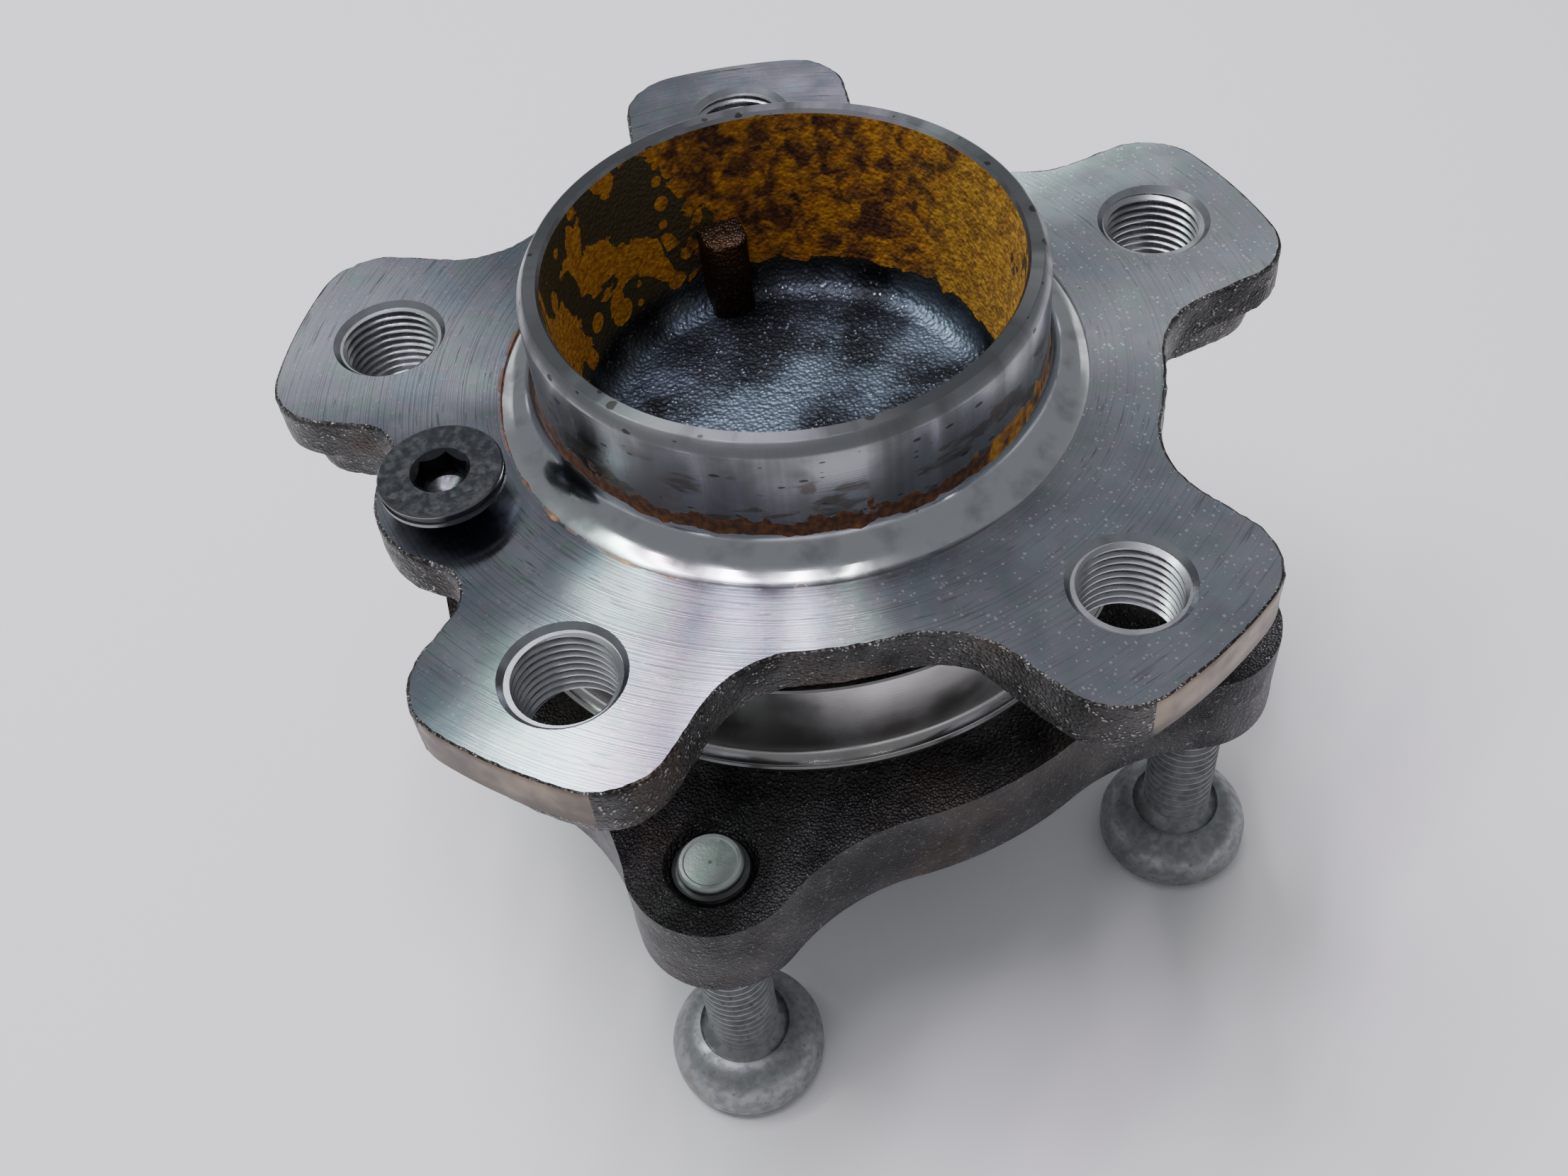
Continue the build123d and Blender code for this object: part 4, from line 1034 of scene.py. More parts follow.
@dataclass(frozen=True)
class Moulded:
    """Moulded rubber or plastic."""

    name: str
    tone: Colour
    roughness: float

    def build(self, effects: Effects) -> Material:
        """Builds the material."""
        finish = Finish(self.name, effects, {"Metallic": 0.0})
        sheet = finish.sheet
        cloud = sheet.noise(finish.place, 1.2, 5.0)
        paler = tuple(1.6 * part for part in self.tone)
        finish.wear(
            color=sheet.mix(sheet.ramp(cloud, 0.4, 0.7), self.tone, paler),
            roughness=sheet.ramp(cloud, 0.3, 0.7, self.roughness, self.roughness + 0.12),
            normal=sheet.bump(cloud, 0.02),
        )
        return finish.material


class Palette:
    """Every finish of the unit, each built once."""

    def __init__(self) -> None:
        effects = Effects()
        self.turned_face = TurnedFace().build(effects)
        self.pilot = Pilot().build(effects)
        self.foot = PolishedFoot().build(effects)
        self.cup = RustyCup().build(effects)
        self.rim = RingBand().build(effects)
        self.hub_forging = ForgedSteel(
            "hub_forging", (0.024, 0.023, 0.022), (0.34, 0.33, 0.32), 1.0, 0.5, 0.3
        ).build(effects)
        self.rib_forging = ForgedSteel(
            "rib_forging", (0.035, 0.022, 0.013), (0.22, 0.16, 0.11), 0.8, 0.5, 0.3, (0.12, 0.06, 0.02), 0.8
        ).build(effects)
        self.ring_forging = ForgedSteel(
            "ring_forging", (0.02, 0.02, 0.02), (0.22, 0.215, 0.21), 0.8, 0.4, 0.24
        ).build(effects)
        self.chamfer = BrightSteel("cut_chamfer", (0.4, 0.42, 0.45), 0.22).build(effects)
        self.thread = BrightSteel("cut_thread", (0.42, 0.43, 0.45), 0.24).build(effects)
        self.ground = BrightSteel("ground_steel", (0.5, 0.5, 0.52), 0.25).build(effects)
        self.deflector = BrightSteel(
            "bright_sheet", (0.46, 0.45, 0.44), 0.16, spread=0.12, grain=9.0, anisotropy=0.8
        ).build(effects)
        self.pressed = BrightSteel("pressed_steel", (0.42, 0.42, 0.43), 0.35, grain=5.0).build(effects)
        self.polished = BrightSteel("polished_ball", (0.72, 0.72, 0.74), 0.08, spread=0.04).build(effects)
        self.black_oxide = BlackOxide().build(effects)
        # Paler steel for the disc screw's head rim: a painted highlight along the rim.
        self.rim_highlight = BrightSteel("rim_highlight", (0.2, 0.205, 0.21), 0.2).build(effects)
        self.zinc = ZincFlake().build(effects)
        self.rubber = Moulded("seal_rubber", (0.02, 0.02, 0.021), 0.55).build(effects)
        self.cage = Moulded("cage_plastic", (0.05, 0.05, 0.048), 0.45).build(effects)


# Sub-assemblies


class HubSkin(IntEnum):
    """Surfaces of the hub, in the order of its materials."""

    FACE = 0
    PILOT = 1
    FOOT = 2
    CUP = 3
    RIM = 4
    FORGED = 5
    CHAMFER = 6
    GROUND = 7


@dataclass
class WheelHub:
    """The rotating forging with its five arms, pilot, cup and spindle."""

    turn: float = -1.4
    lug_circle: float = 56.0
    lugs: int = 5
    lug_mouth: float = 7.7
    lug_core: float = 6.25
    lug_major: float = 6.95
    lug_pitch: float = 1.25
    reach: float = 69.8
    half_width: float = 17.0
    corner: float = 9.0
    valley: float = 48.2
    valley_fillet: float = 13.0
    web: float = 6.0
    arm_depth: float = 12.5
    boss_inset: float = 1.6
    boss_draft: float = 1.0
    boss_edge: float = 1.8
    boss_inner: float = 44.5
    ear_reach: float = 57.2
    ear_radius: float = 13.5
    ear_notch: float = 5.5
    screw_hole: float = 4.05
    seat_mouth: float = 4.9
    seat_depth: float = 0.85
    pilot: float = 33.25
    pilot_top: float = 17.8
    foot_radius: float = 5.25
    relief: float = 0.4
    cup_mouth: float = 30.3
    cup_floor: float = 28.4
    floor_height: float = -10.4
    cup_corner: float = 4.0
    rib_height: float = 14.4
    rib_top: float = 2.4
    rib_depth: float = 7.6
    rib_width: float = 6.2
    rib_place: float = 27.0
    rib_angle: float = 85.0
    root: float = 46.7
    seal_land: float = -17.7
    shoulder: float = 29.5
    spindle: float = 19.5
    seat_end: float = -63.62
    roll: float = 25.0
    roll_radius: float = 2.6
    end: float = -68.0
    end_hollow: float = -62.0
    step: float = 0.8

    @property
    def foot(self) -> float:
        """Radius at which the pilot's foot meets the wheel face."""
        return self.pilot + self.foot_radius

    def angles(self) -> list[float]:
        """Angles of the arms and of their wheel-bolt holes."""
        return [index * 360 / self.lugs for index in range(self.lugs)]

    def half_arm(self, towards_ear: bool) -> list[Arc]:
        """Outline of half an arm along +X, from the valley or the ear on its -Y side to the arm's end.

        Args:
            towards_ear: whether this half meets the ear in place of a plain valley.

        Returns:
            Its arcs, anticlockwise.
        """
        ring = self.reach - self.corner
        corner_y = self.corner - self.half_width
        corner_x = math.sqrt(ring ** 2 - corner_y ** 2)
        lean = bearing(corner_x, corner_y)
        rounded = Arc(corner_x, corner_y, self.corner, -90.0, lean)
        end = Arc(0, 0, self.reach, lean, 0.0)
        if towards_ear:
            hollow_y = -self.half_width - self.ear_notch
            spread = math.radians(180 / self.lugs)
            middle = self.ear_reach - self.ear_radius
            ear_x = middle * math.cos(spread)
            ear_y = -middle * math.sin(spread)
            hollow_x = ear_x + math.sqrt((self.ear_radius + self.ear_notch) ** 2 - (hollow_y - ear_y) ** 2)
            meeting = bearing(hollow_x - ear_x, hollow_y - ear_y)
            ear = Arc(ear_x, ear_y, self.ear_radius, -180 / self.lugs, meeting)
            notch = Arc(hollow_x, hollow_y, self.ear_notch, 180 + meeting, 90.0)
            return [ear, notch, rounded, end]
        hollow_y = -self.half_width - self.valley_fillet
        hollow_x = math.sqrt((self.valley + self.valley_fillet) ** 2 - hollow_y ** 2)
        meeting = bearing(hollow_x, hollow_y)
        valley = Arc(0, 0, self.valley, -180 / self.lugs, meeting)
        fillet = Arc(hollow_x, hollow_y, self.valley_fillet, 180 + meeting, 90.0)
        return [valley, fillet, rounded, end]

    def outline(self) -> list[Arc]:
        """The whole star with its ear at 180 degrees, anticlockwise."""
        arcs: list[Arc] = []
        for index, angle in enumerate(self.angles()):
            before = self.half_arm(index == (self.lugs + 1) // 2)
            after = [
                Arc(arc.x, -arc.y, arc.radius, -arc.end, -arc.start)
                for arc in reversed(self.half_arm(index == self.lugs // 2))
            ]
            arcs += [arc.turned(angle) for arc in before + after]
        return arcs

    def plate(self) -> BMesh:
        """The flange as thick as its valleys, with a bored middle and a softened rim."""
        mesh = bmesh.new()
        face = trace(mesh, self.outline(), self.step)
        raise_walls(mesh, face, self.web, 7)
        round_off(mesh, level_edges(mesh, 0.0), 0.45, 2)
        bore = lathe([(0, 1), (self.foot, 1), (self.foot, -9), (0, -9)], AROUND)
        return combined(mesh, bore, "DIFFERENCE")

    def boss(self, angle: float) -> BMesh:
        """The thick forged underside of one arm."""
        half = self.half_width - self.boss_inset
        ring = self.reach - self.boss_inset - self.corner
        corner_x = math.sqrt(ring ** 2 - (half - self.corner) ** 2)
        lean = bearing(corner_x, half - self.corner)
        inner = math.degrees(math.asin(half / self.boss_inner))
        mesh = bmesh.new()
        face = trace(mesh, [
            Arc(0, 0, self.boss_inner, inner, -inner),
            Arc(corner_x, self.corner - half, self.corner, -90.0, -lean),
            Arc(0, 0, self.reach - self.boss_inset, -lean, lean),
            Arc(corner_x, half - self.corner, self.corner, lean, 90.0),
        ], self.step)
        start = 1.0 - self.web
        raise_walls(mesh, face, self.arm_depth + start, 6)
        moved(mesh, 0, 0, start)
        depth = self.arm_depth + start
        for vert in mesh.verts:
            drop = (start - vert.co.z) / depth
            vert.co.x += (self.lug_circle - vert.co.x) * drop * self.boss_draft / 12
            vert.co.y -= vert.co.y * drop * self.boss_draft / half
        round_off(mesh, level_edges(mesh, -self.arm_depth), self.boss_edge, 4)
        return turned(mesh, angle)

    def core(self) -> BMesh:
        """The turned middle: cup, pilot, foot, root, seal land, inner race and spindle."""
        foot_height = self.foot_radius - self.relief
        rolled = self.end + self.roll_radius
        inset = self.cup_floor - self.cup_corner
        corner = Arc(inset, self.floor_height + self.cup_corner, self.cup_corner, -90, 0)
        race = Arc(ROW_RADIUS, OUTBOARD_ROW, GROOVE, 248.0, 180.0)
        return lathe([
            (0, self.floor_height),
            *corner.points(8),
            (self.cup_mouth - 0.12, self.pilot_top - 0.5),
            (self.cup_mouth + 0.25, self.pilot_top),
            (self.pilot - 1.15, self.pilot_top),
            (self.pilot - 0.95, self.pilot_top - 0.12),
            (self.pilot - 0.12, self.pilot_top - 1.45),
            (self.pilot, self.pilot_top - 1.75),
            (self.pilot, foot_height + 4.0),
            *Arc(self.foot, foot_height, self.foot_radius, 180, 270).points(24),
            (self.foot + 2.0, -self.relief),
            (self.foot + 2.0, -5.0),
            (self.root + 0.5, -self.web + 0.5),
            (42.5, -10.0),
            *Arc(35.5, -12.5, 2.5, 90, 180).points(6),
            (33.0, self.seal_land),
            (self.shoulder, self.seal_land),
            (self.shoulder, OUTBOARD_ROW - 6.1),
            *[(x, z) for x, z in race.points(8) if z < OUTBOARD_ROW],
            (25.4, -37.6),
            (self.spindle, -37.9),
            (self.spindle, self.seat_end),
            (self.roll, self.seat_end),
            (self.roll, rolled),
            *Arc(self.roll - self.roll_radius, rolled, self.roll_radius, 0, -90).points(6),
            (15.0, self.end),
            (11.4, self.end_hollow),
            (0, self.end_hollow),
        ], AROUND)

    def cutters(self) -> BMesh:
        """The five wheel-bolt holes with their chamfers, and the disc screw's seat."""
        low = -self.arm_depth
        holes = drills(self.lug_major, self.lug_mouth, 0, low, self.lug_circle, self.angles())
        seat = [(0, 1), (self.seat_mouth + 1, 1), (self.seat_mouth, 0), (self.screw_hole, -self.seat_depth)]
        seat += [(self.screw_hole, low), (0, low)]
        return merged([*holes, moved(lathe(seat, 48), -SCREW_CIRCLE, 0)])

    def skin(self, face: BMFace) -> HubSkin:
        """Which surface a face belongs to, from where it lies and points."""
        if all(abs(vert.co.z) < FLAT for vert in face.verts):
            return HubSkin.FACE
        if all(abs(vert.co.z + self.web) < FLAT for vert in face.verts):
            return HubSkin.FORGED
        middle = face.calc_center_median()
        radius = math.hypot(middle.x, middle.y)
        outward = (face.normal.x * middle.x + face.normal.y * middle.y) / max(radius, TINY)
        lug_hole = any(
            bored(self.lug_mouth + TINY, self.lug_circle, angle, middle) for angle in self.angles()
        )
        if radius < self.pilot + TINY and middle.z > self.floor_height - 1:
            inside = radius < self.cup_mouth and (outward < -0.5 or middle.z < 0)
            return HubSkin.CUP if inside else HubSkin.PILOT
        if lug_hole:
            return HubSkin.CHAMFER
        if radius < self.foot + TINY and middle.z > -self.relief - TINY:
            return HubSkin.PILOT if middle.z > self.foot_radius - self.relief else HubSkin.FOOT
        if radius > self.reach - 0.3 and middle.z > -self.web - TINY and outward > 0.9:
            return HubSkin.RIM
        if radius < self.root and middle.z < -self.web - TINY:
            below = middle.z < -self.arm_depth or radius < 42.4
            return HubSkin.GROUND if below else HubSkin.FORGED
        return HubSkin.FORGED

    def forged_way(self, vert: BMVert) -> Vector:
        """The way a point may move when the forging is roughened, or zero where it is machined."""
        kinds = {face.material_index for face in vert.link_faces}
        if HubSkin.FORGED not in kinds or kinds - {HubSkin.FORGED, HubSkin.FACE}:
            return Vector()
        if HubSkin.FACE in kinds:
            return Vector((vert.normal.x, vert.normal.y, 0))
        return vert.normal.copy()

    def build(self, palette: Palette) -> None:
        """Makes the hub, its rib and its threads."""
        bosses = merged(self.boss(angle) for angle in self.angles())
        mesh = combined(self.plate(), bosses, "UNION")
        mesh = combined(mesh, self.core(), "UNION")
        mesh = combined(mesh, self.cutters(), "DIFFERENCE")
        bmesh.ops.dissolve_degenerate(mesh, edges=mesh.edges, dist=TINY)
        mesh.normal_update()
        for face in mesh.faces:
            face.material_index = self.skin(face)
        roughen(mesh, self.forged_way, 1.6, 0.16)
        turned(mesh, self.turn)
        finishes = [
            palette.turned_face, palette.pilot, palette.foot, palette.cup, palette.rim, palette.hub_forging,
            palette.chamfer, palette.ground,
        ]
        hub = make_piece("hub_forging", mesh, Body.WHEEL, finishes)
        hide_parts("wheel_hub")
        self.build_rib(palette)
        self.build_threads(palette)

    def build_rib(self, palette: Palette) -> None:
        """The forged rib that stands in the cup against its wall."""
        mesh = bmesh.new()
        bmesh.ops.create_cube(mesh, size=1.0)
        bmesh.ops.scale(mesh, vec=(self.rib_depth, self.rib_width, self.rib_height), verts=mesh.verts)
        bmesh.ops.subdivide_edges(mesh, edges=mesh.edges, cuts=1, use_grid_fill=True)
        uprights = [edge for edge in mesh.edges if abs(edge.verts[0].co.z - edge.verts[1].co.z) > 1]
        outer = [
            edge for edge in uprights if all(abs(vert.co.x) > 3 and abs(vert.co.y) > 3 for vert in edge.verts)
        ]
        round_off(mesh, outer, 2.5, 6)
        round_off(mesh, level_edges(mesh, self.rib_height / 2), 1.2, 4)
        bmesh.ops.triangulate(mesh, faces=mesh.faces)
        long = [edge for edge in mesh.edges if edge.calc_length() > 1.6]
        bmesh.ops.subdivide_edges(mesh, edges=long, cuts=2)
        roughen(mesh, lambda vert: vert.normal.copy(), 1.5, 0.3)
        moved(mesh, self.rib_place, 0, self.rib_top - self.rib_height / 2)
        turned(mesh, self.rib_angle + self.turn)
        rib = make_piece("cup_rib", mesh, Body.WHEEL, [palette.rib_forging], sharp=60)
        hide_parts("wheel_hub")

    def build_threads(self, palette: Palette) -> None:
        """The threads in the five wheel-bolt holes."""
        lip = self.lug_mouth - self.lug_major
        for number, angle in enumerate(self.angles(), start=1):
            ridge = helix(
                self.lug_major + 0.05, self.lug_core, self.lug_pitch, lip - self.arm_depth, -lip, 48
            )
            ridge = turned(moved(ridge, self.lug_circle, 0), angle + self.turn)
            thread = make_piece(
                f"wheel_bolt_thread_{number}", ridge, Body.WHEEL, [palette.thread], sharp=25
            )
            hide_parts("wheel_hub")


@dataclass
class DiscScrew:
    """The black countersunk screw that locates the brake disc."""

    angle: float = 178.6
    head: float = 7.85
    top: float = 5.0
    rim: float = 2.0
    shank: float = 4.0
    end: float = -13.0
    socket: float = 6.0
    pitch: float = 1.25

    def build(self, palette: Palette) -> None:
        """Makes the screw with its socket, edge rings and thread."""
        low = self.top - self.rim
        neck = low - (self.head - self.shank)
        core = self.shank - 0.62
        mesh = lathe([
            (0, self.top),
            (self.head - 0.2, self.top),
            (self.head, self.top - 0.16),
            (self.head, self.top - 0.3),
            (self.head - 0.22, self.top - 0.45),
            (self.head - 0.22, self.top - 1.25),
            (self.head, self.top - 1.4),
            (self.head, low + 0.1),
            (self.head - 0.15, low),
            (self.shank, neck),
            (self.shank, neck - 1.0),
            (core, neck - 1.6),
            (core, self.end + 0.5),
            (core - 0.5, self.end),
            (0, self.end),
        ], 96)
        key = hexagon(self.socket, self.top - 3.6, self.top + 1)
        mesh = combined(mesh, key, "DIFFERENCE")
        reach = self.socket / math.sqrt(3) + 0.3
        mouth = lathe([(0, self.top - reach), (reach + 1, self.top + 1), (0, self.top + 1)], 64)
        mesh = combined(mesh, mouth, "DIFFERENCE")
        drill = [(0, self.top - 4.9), (2.75, self.top - 3.5), (2.75, self.top - 3.2), (0, self.top - 3.2)]
        mesh = combined(mesh, lathe(drill, 48), "DIFFERENCE")
        # Faces of the head's outer rim take the second material, a painted highlight along the rim.
        for face in mesh.faces:
            face.material_index = int(all(vert.co.xy.length > self.head - 0.21 for vert in face.verts))
        ridge = helix(core - 0.05, self.shank, self.pitch, self.end + 0.4, neck - 1.2, 40)
        mesh = turned(moved(merged([mesh, ridge]), SCREW_CIRCLE, 0), self.angle)
        finishes = [palette.black_oxide, palette.rim_highlight]
        screw = make_piece("disc_screw", mesh, Body.WHEEL, finishes, sharp=28)
        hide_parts("brake_disc_screw")


class RingSkin(IntEnum):
    """Surfaces of the outer ring, in the order of its materials."""

    FORGED = 0
    GROUND = 1


@dataclass
class OuterRing:
    """The stationary forging with its four-lobed mounting flange."""

    body: float = 53.0
    lobe: float = 11.5
    lobe_circle: float = 56.5
    wave: float = 30.0
    hole: float = 5.05
    mouth: float = 6.1
    front: float = -31.0
    thickness: float = 14.0
    front_edge: float = 3.0
    back_edge: float = 1.5
    nose: float = 42.5
    nose_top: float = -12.0
    nose_fillet: float = 4.5
    bore: float = 38.7
    seal_bore: float = 39.2
    flange_core: float = 41.9
    spigot: float = 42.5
    tail: float = 41.2
    end: float = -66.5
    step: float = 0.9

    def outline(self) -> list[Arc]:
        """The four lobes joined by hollow waves, anticlockwise."""
        far = self.body + self.wave
        tie = self.lobe + self.wave
        turn = (far ** 2 + self.lobe_circle ** 2 - tie ** 2) / (2 * far * self.lobe_circle)
        offset = math.degrees(math.acos(turn))
        hollow = far * heading(offset)
        meeting = bearing(hollow.x - self.lobe_circle, hollow.y)
        arcs: list[Arc] = []
        for angle in BOLT_ANGLES:
            lobe = [
                Arc(hollow.x, -hollow.y, self.wave, 180 - offset, 180 - meeting),
                Arc(self.lobe_circle, 0, self.lobe, -meeting, meeting),
                Arc(hollow.x, hollow.y, self.wave, 180 + meeting, 180 + offset),
            ]
            arcs += [arc.turned(angle) for arc in lobe]
            arcs.append(self.valley(angle + offset))
        return arcs

    def valley(self, start: float) -> Arc:
        """The round stretch between two waves, from an angle to the next lobe's wave."""
        following = min(angle for angle in (*BOLT_ANGLES, BOLT_ANGLES[0] + 360) if angle > start)
        passed = max(angle for angle in BOLT_ANGLES if angle < start)
        return Arc(0, 0, self.body, start, following - (start - passed))

    def flange(self) -> BMesh:
        """The mounting flange with its rounded edges."""
        mesh = bmesh.new()
        face = trace(mesh, self.outline(), self.step)
        raise_walls(mesh, face, self.thickness, 8)
        round_off(mesh, level_edges(mesh, 0.0), self.front_edge, 6)
        round_off(mesh, level_edges(mesh, -self.thickness), self.back_edge, 3)
        return moved(mesh, 0, 0, self.front)

    def ring(self) -> BMesh:
        """The turned ring: nose, bore with its two raceways, spigot and tail."""
        fillet = self.nose + self.nose_fillet
        upper = Arc(ROW_RADIUS, OUTBOARD_ROW, GROOVE, 0.0, -68.0)
        lower = Arc(ROW_RADIUS, INBOARD_ROW, GROOVE, 68.0, 0.0)
        return lathe([
            (39.7, self.nose_top),
            (self.nose - 0.8, self.nose_top),
            (self.nose, self.nose_top - 0.8),
            (self.nose, self.front + self.nose_fillet),
            *Arc(fillet, self.front + self.nose_fillet, self.nose_fillet, 180, 270).points(8),
            (fillet + 2.0, self.front - 1.0),
            (fillet + 2.0, self.front - self.thickness + 1.0),
            (self.flange_core, self.front - self.thickness + 1.0),
            (self.flange_core, -47.0),
            (self.spigot, -47.6),
            (self.spigot, -59.0),
            (self.spigot - 1.0, -60.0),
            (self.tail, -60.0),
            (self.tail, self.end + 1.0),
            (self.tail - 1.0, self.end),
            (self.seal_bore, self.end),
            (self.seal_bore, -57.6),
            (self.bore, -57.0),
            (self.bore, INBOARD_ROW),
            *reversed(lower.points(8)),
            *reversed(upper.points(8)),
            (self.bore, OUTBOARD_ROW),
            (self.bore, -18.3),
            (self.seal_bore, -17.7),
            (self.seal_bore, self.nose_top - 0.5),
        ], AROUND)

    def cutters(self) -> BMesh:
        """The four threaded holes with their chamfered mouths."""
        back = self.front - self.thickness
        return merged(drills(self.hole, self.mouth, self.front, back, BOLT_CIRCLE, BOLT_ANGLES))

    def skin(self, face: BMFace) -> RingSkin:
        """Whether a face is forged or machined."""
        radius = min(math.hypot(vert.co.x, vert.co.y) for vert in face.verts)
        low = all(vert.co.z < self.front - self.thickness + 0.3 for vert in face.verts)
        return RingSkin.GROUND if low or radius < self.nose - 0.1 else RingSkin.FORGED

    def forged_way(self, vert: BMVert) -> Vector:
        """The way a point may move when the forging is roughened, or zero where it is machined."""
        kinds = {face.material_index for face in vert.link_faces}
        near_hole = any(bored(self.mouth + 0.5, BOLT_CIRCLE, angle, vert.co) for angle in BOLT_ANGLES)
        if kinds != {RingSkin.FORGED} or near_hole:
            return Vector()
        return vert.normal.copy()

    def build(self, palette: Palette) -> None:
        """Makes the outer ring."""
        hollow = lathe([(0, -30), (40.5, -30), (40.5, -46), (0, -46)], 128)
        mesh = combined(self.flange(), hollow, "DIFFERENCE")
        mesh = combined(mesh, self.ring(), "UNION")
        mesh = combined(mesh, self.cutters(), "DIFFERENCE")
        bmesh.ops.dissolve_degenerate(mesh, edges=mesh.edges, dist=TINY)
        mesh.normal_update()
        for face in mesh.faces:
            face.material_index = self.skin(face)
        roughen(mesh, self.forged_way, 2.4, 0.14)
        ring = make_piece(
            "ring_forging", mesh, Body.KNUCKLE, [palette.ring_forging, palette.ground]
        )
        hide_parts("outer_ring")


@dataclass
class Deflector:
    """The bright ring on the nose, turned out into a grooved lip."""

    inner: float = 42.52
    wall: float = 0.8
    top: float = -14.0
    lip: float = 45.0
    foot: float = -28.7
    hollow: float = 1.7

    def build(self, palette: Palette) -> None:
        """Makes the ring."""
        outer = self.inner + self.wall
        shelf = self.foot + 0.8
        bend = shelf + self.hollow
        mesh = lathe([
            (self.inner, self.top),
            (outer - 0.25, self.top),
            (outer, self.top - 0.25),
            (outer, bend + 2.0),
            *Arc(outer + self.hollow - 0.15, bend, self.hollow - 0.15, 180, 262).points(8),
            (self.lip - 0.28, shelf + 0.02),
            (self.lip - 0.28, shelf - 0.12),
            (self.lip, shelf - 0.3),
            (self.lip, self.foot + 0.12),
            (self.lip - 0.12, self.foot),
            (self.lip - self.wall, self.foot),
            (self.inner, bend),
        ], AROUND)
        ring = make_piece("deflector", mesh, Body.KNUCKLE, [palette.deflector])
        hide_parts("deflector_ring")


@dataclass
class MountingBolts:
    """The four bolts with domed seats and round heads, screwed part way in from behind."""

    shank: float = 5.0
    core: float = 4.25
    pitch: float = 1.5
    top: float = -30.0
    seat: float = -74.4
    dome: float = 5.2
    head: float = 11.0
    skirt: float = 2.1
    edge: float = 2.2
    socket: float = 10.0

    def bolt(self) -> BMesh:
        """One bolt on the hub axis."""
        shoulder = self.seat - self.dome
        skirt_end = shoulder - self.skirt
        bottom = skirt_end - self.edge
        collar = self.shank + 1.0
        rise = Vector((collar - self.head, self.dome))
        bulge = Vector((rise.y, -rise.x)).normalized() * 1.15
        steps = 10
        curve = [
            (
                self.head + rise.x * t + bulge.x * 4 * t * (1 - t),
                shoulder + rise.y * t + bulge.y * 4 * t * (1 - t),
            )
            for t in (step / steps for step in range(1, steps))
        ]
        edge = Arc(self.head - self.edge, skirt_end, self.edge, 0, -90).points(6)
        mesh = lathe([
            (0, self.top - 0.55),
            (0.15, self.top - 0.55),
            (0.3, self.top - 0.35),
            (3.3, self.top - 0.35),
            (3.5, self.top - 0.2),
            (3.9, self.top - 0.2),
            (self.core, self.top - 0.7),
            (self.core, self.seat + 0.9),
            (self.shank + 0.15, self.seat - 0.1),
            (collar + 0.15, self.seat - 0.75),
            (collar + 0.45, self.seat - 0.25),
            (collar + 0.7, self.seat - 0.28),
            *reversed(curve[:-1]),
            (self.head, shoulder),
            *edge,
            (0, bottom),
        ], 96)
        mesh = combined(mesh, hexagon(self.socket, bottom - 1, bottom + 6), "DIFFERENCE")
        ridge = helix(self.core - 0.05, self.shank, self.pitch, self.seat + 0.9, self.top - 1.3, 48)
        return merged([mesh, ridge])

    def build(self, palette: Palette) -> None:
        """Makes the four bolts."""
        for number, angle in enumerate(BOLT_ANGLES, start=1):
            mesh = turned(moved(self.bolt(), BOLT_CIRCLE, 0), angle)
            bolt = make_piece(f"bolt_{number}", mesh, Body.KNUCKLE, [palette.zinc], sharp=28)
            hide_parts(f"mounting_bolt_{number}")


class Bearing:
    """The frame's own nodes inside the unit, which keep their shape and get their finish here."""

    def build(self, palette: Palette) -> None:
        """Dresses every node that is still shown."""
        by_slot = {
            "ground_steel": palette.ground,
            "ball_steel": palette.polished,
            "cage_plastic": palette.cage,
            "pressed_steel": palette.pressed,
            "seal_rubber": palette.rubber,
        }
        slots = {row["node"]: row["material_slot"] for row in frame["record"]["subparts"]}
        for name, node in frame["nodes"].items():
            if not node.hide_render:
                node.data.materials.clear()
                node.data.materials.append(by_slot[slots[name]])
                node.data.shade_smooth()
                node.data.set_sharp_from_angle(angle=math.radians(32))
                LOG.info("%s dressed", name)


# Surroundings


@dataclass(frozen=True)
class Strip:
    """A soft strip light, placed by the bright streak that it throws on the turned wheel face.

    The streak's direction and width are in degrees round the hub axis. The strip reaches outwards in that
    direction, from near to far, from where the camera's own reflection in the face would point.
    """

    name: str
    streak: float
    spread: float
    near: float
    far: float
    glow: float
    tone: Colour


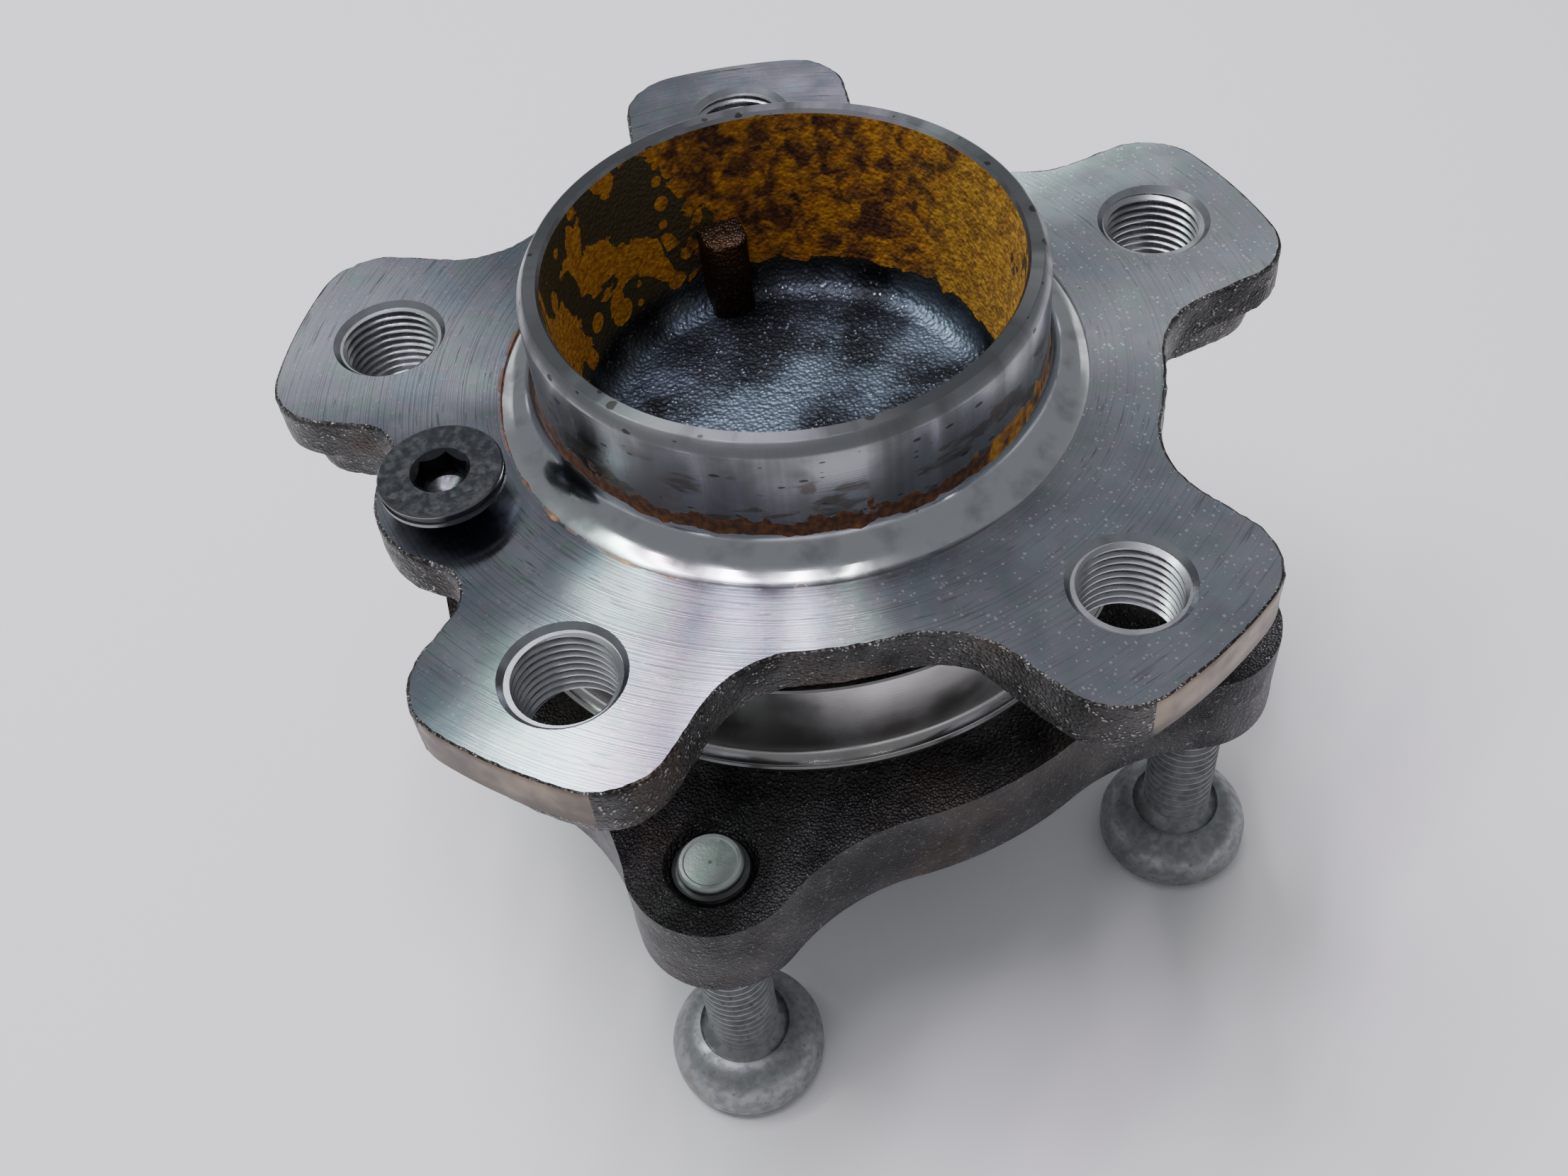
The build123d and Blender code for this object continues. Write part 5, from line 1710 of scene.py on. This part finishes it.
@dataclass
class Studio:
    """A pale floor, soft lights and the camera at the photograph's angle."""

    floor_tone: float = 0.96
    floor_size: float = 3.0
    ambient: float = 0.3
    lights_away: float = 1.1
    focal_pixels: float = 2407.78
    width_pixels: float = 2212.0
    sensor: float = 36.0
    azimuth: float = -22.0
    elevation: float = 50.024
    roll: float = -7.075
    distance: float = 223.71
    shift_right: float = -1.039
    shift_up: float = -29.59

    def build(self) -> None:
        """Makes the floor, the lights and the camera."""
        self.build_floor()
        self.build_world()
        self.build_lights()
        self.build_camera()

    def build_floor(self) -> None:
        """A plain pale floor under the bolts' heads."""
        mesh = bmesh.new()
        bmesh.ops.create_grid(mesh, x_segments=1, y_segments=1, size=self.floor_size)
        data = bpy.data.meshes.new("floor")
        mesh.to_mesh(data)
        mesh.free()
        data.transform(Matrix.Translation((0, 0, CAD_BOX[0][2] - 0.0002)))
        material = bpy.data.materials.new("pale_floor")
        material.use_nodes = True
        surface = material.node_tree.nodes["Principled BSDF"]
        surface.inputs["Base Color"].default_value = (self.floor_tone, self.floor_tone, self.floor_tone, 1)
        surface.inputs["Roughness"].default_value = 0.9
        data.materials.append(material)
        floor = bpy.data.objects.new("floor", data)
        bpy.context.scene.collection.objects.link(floor)

    def build_world(self) -> None:
        """Even pale light from all round."""
        world = bpy.data.worlds.new("studio")
        world.use_nodes = True
        background = world.node_tree.nodes["Background"]
        background.inputs["Color"].default_value = (0.93, 0.96, 1.0, 1)
        background.inputs["Strength"].default_value = self.ambient
        bpy.context.scene.world = world

    def build_lights(self) -> None:
        """Strips that streak the turned face, and a broad light from behind."""
        strips = (
            Strip("left_strip", 200.0, 7.0, 0.22, 0.9, 26.0, (0.78, 1.0, 0.9)),
            Strip("rose_strip", 209.5, 5.0, 0.22, 0.9, 24.0, (1.0, 0.8, 0.94)),
            Strip("middle_strip", 227.5, 7.0, 0.22, 0.9, 32.0, (0.93, 0.82, 1.0)),
            Strip("front_strip", 244.5, 4.5, 0.22, 0.9, 34.0, (0.94, 0.88, 1.0)),
            Strip("thin_strip", 257.0, 1.2, 0.22, 0.9, 36.0, (1.0, 0.99, 0.97)),
            Strip("back_light", 349.0, 18.0, 0.2, 0.5, 1.2, (1.0, 0.99, 0.97)),
            Strip("side_light", 142.0, 18.0, 0.2, 0.55, 1.0, (0.97, 0.99, 1.0)),
        )
        for strip in strips:
            self.strip_light(strip)

    def strip_light(self, strip: Strip) -> None:
        """Hangs one strip light, turned towards the hub.

        Args:
            strip: where it hangs and how it shines.
        """
        turn = math.radians(self.azimuth)
        mirror = Vector((-math.sin(turn), math.cos(turn))) * math.cos(math.radians(self.elevation))
        way = heading(strip.streak)
        middle = (strip.near + strip.far) / 2
        plan = mirror + way * middle
        away = Vector((plan.x, plan.y, math.sqrt(1 - plan.length_squared)))
        along = way.to_3d()
        along = (along - away * along.dot(away)).normalized()
        side = along.cross(away)
        place = away * self.lights_away
        data = bpy.data.lights.new(strip.name, "AREA")
        data.shape = "RECTANGLE"
        data.size = 2 * math.tan(math.radians(strip.spread / 2)) * middle * self.lights_away
        data.size_y = (strip.far - strip.near) * self.lights_away
        data.energy = strip.glow * math.pi * data.size * data.size_y
        data.color = strip.tone
        light = bpy.data.objects.new(strip.name, data)
        light.matrix_world = axes(side, along, away, place)
        bpy.context.scene.collection.objects.link(light)

    def build_camera(self) -> None:
        """The camera where the photograph was taken from."""
        turn = math.radians(self.azimuth)
        rise = math.radians(self.elevation)
        back = Vector((math.sin(turn) * math.cos(rise), -math.cos(turn) * math.cos(rise), math.sin(rise)))
        side = Vector((math.cos(turn), math.sin(turn), 0))
        over = back.cross(side)
        lean = math.radians(self.roll)
        right = side * math.cos(lean) + over * math.sin(lean)
        up = over * math.cos(lean) - side * math.sin(lean)
        place = (back * self.distance + right * self.shift_right + up * self.shift_up) * MM
        data = bpy.data.cameras.new("camera")
        data.sensor_width = self.sensor
        data.lens = self.focal_pixels / self.width_pixels * self.sensor
        data.clip_start = 0.005
        camera = bpy.data.objects.new("camera", data)
        camera.matrix_world = axes(right, up, back, place)
        bpy.context.scene.collection.objects.link(camera)
        bpy.context.scene.camera = camera


def main() -> None:
    """Builds the unit and its surroundings."""
    logging.basicConfig(level=logging.INFO, format="%(name)s %(message)s")
    palette = Palette()
    for part in (WheelHub(), DiscScrew(), OuterRing(), Deflector(), MountingBolts(), Bearing()):
        part.build(palette)
    Studio().build()


if __name__ == "__main__":
    main()
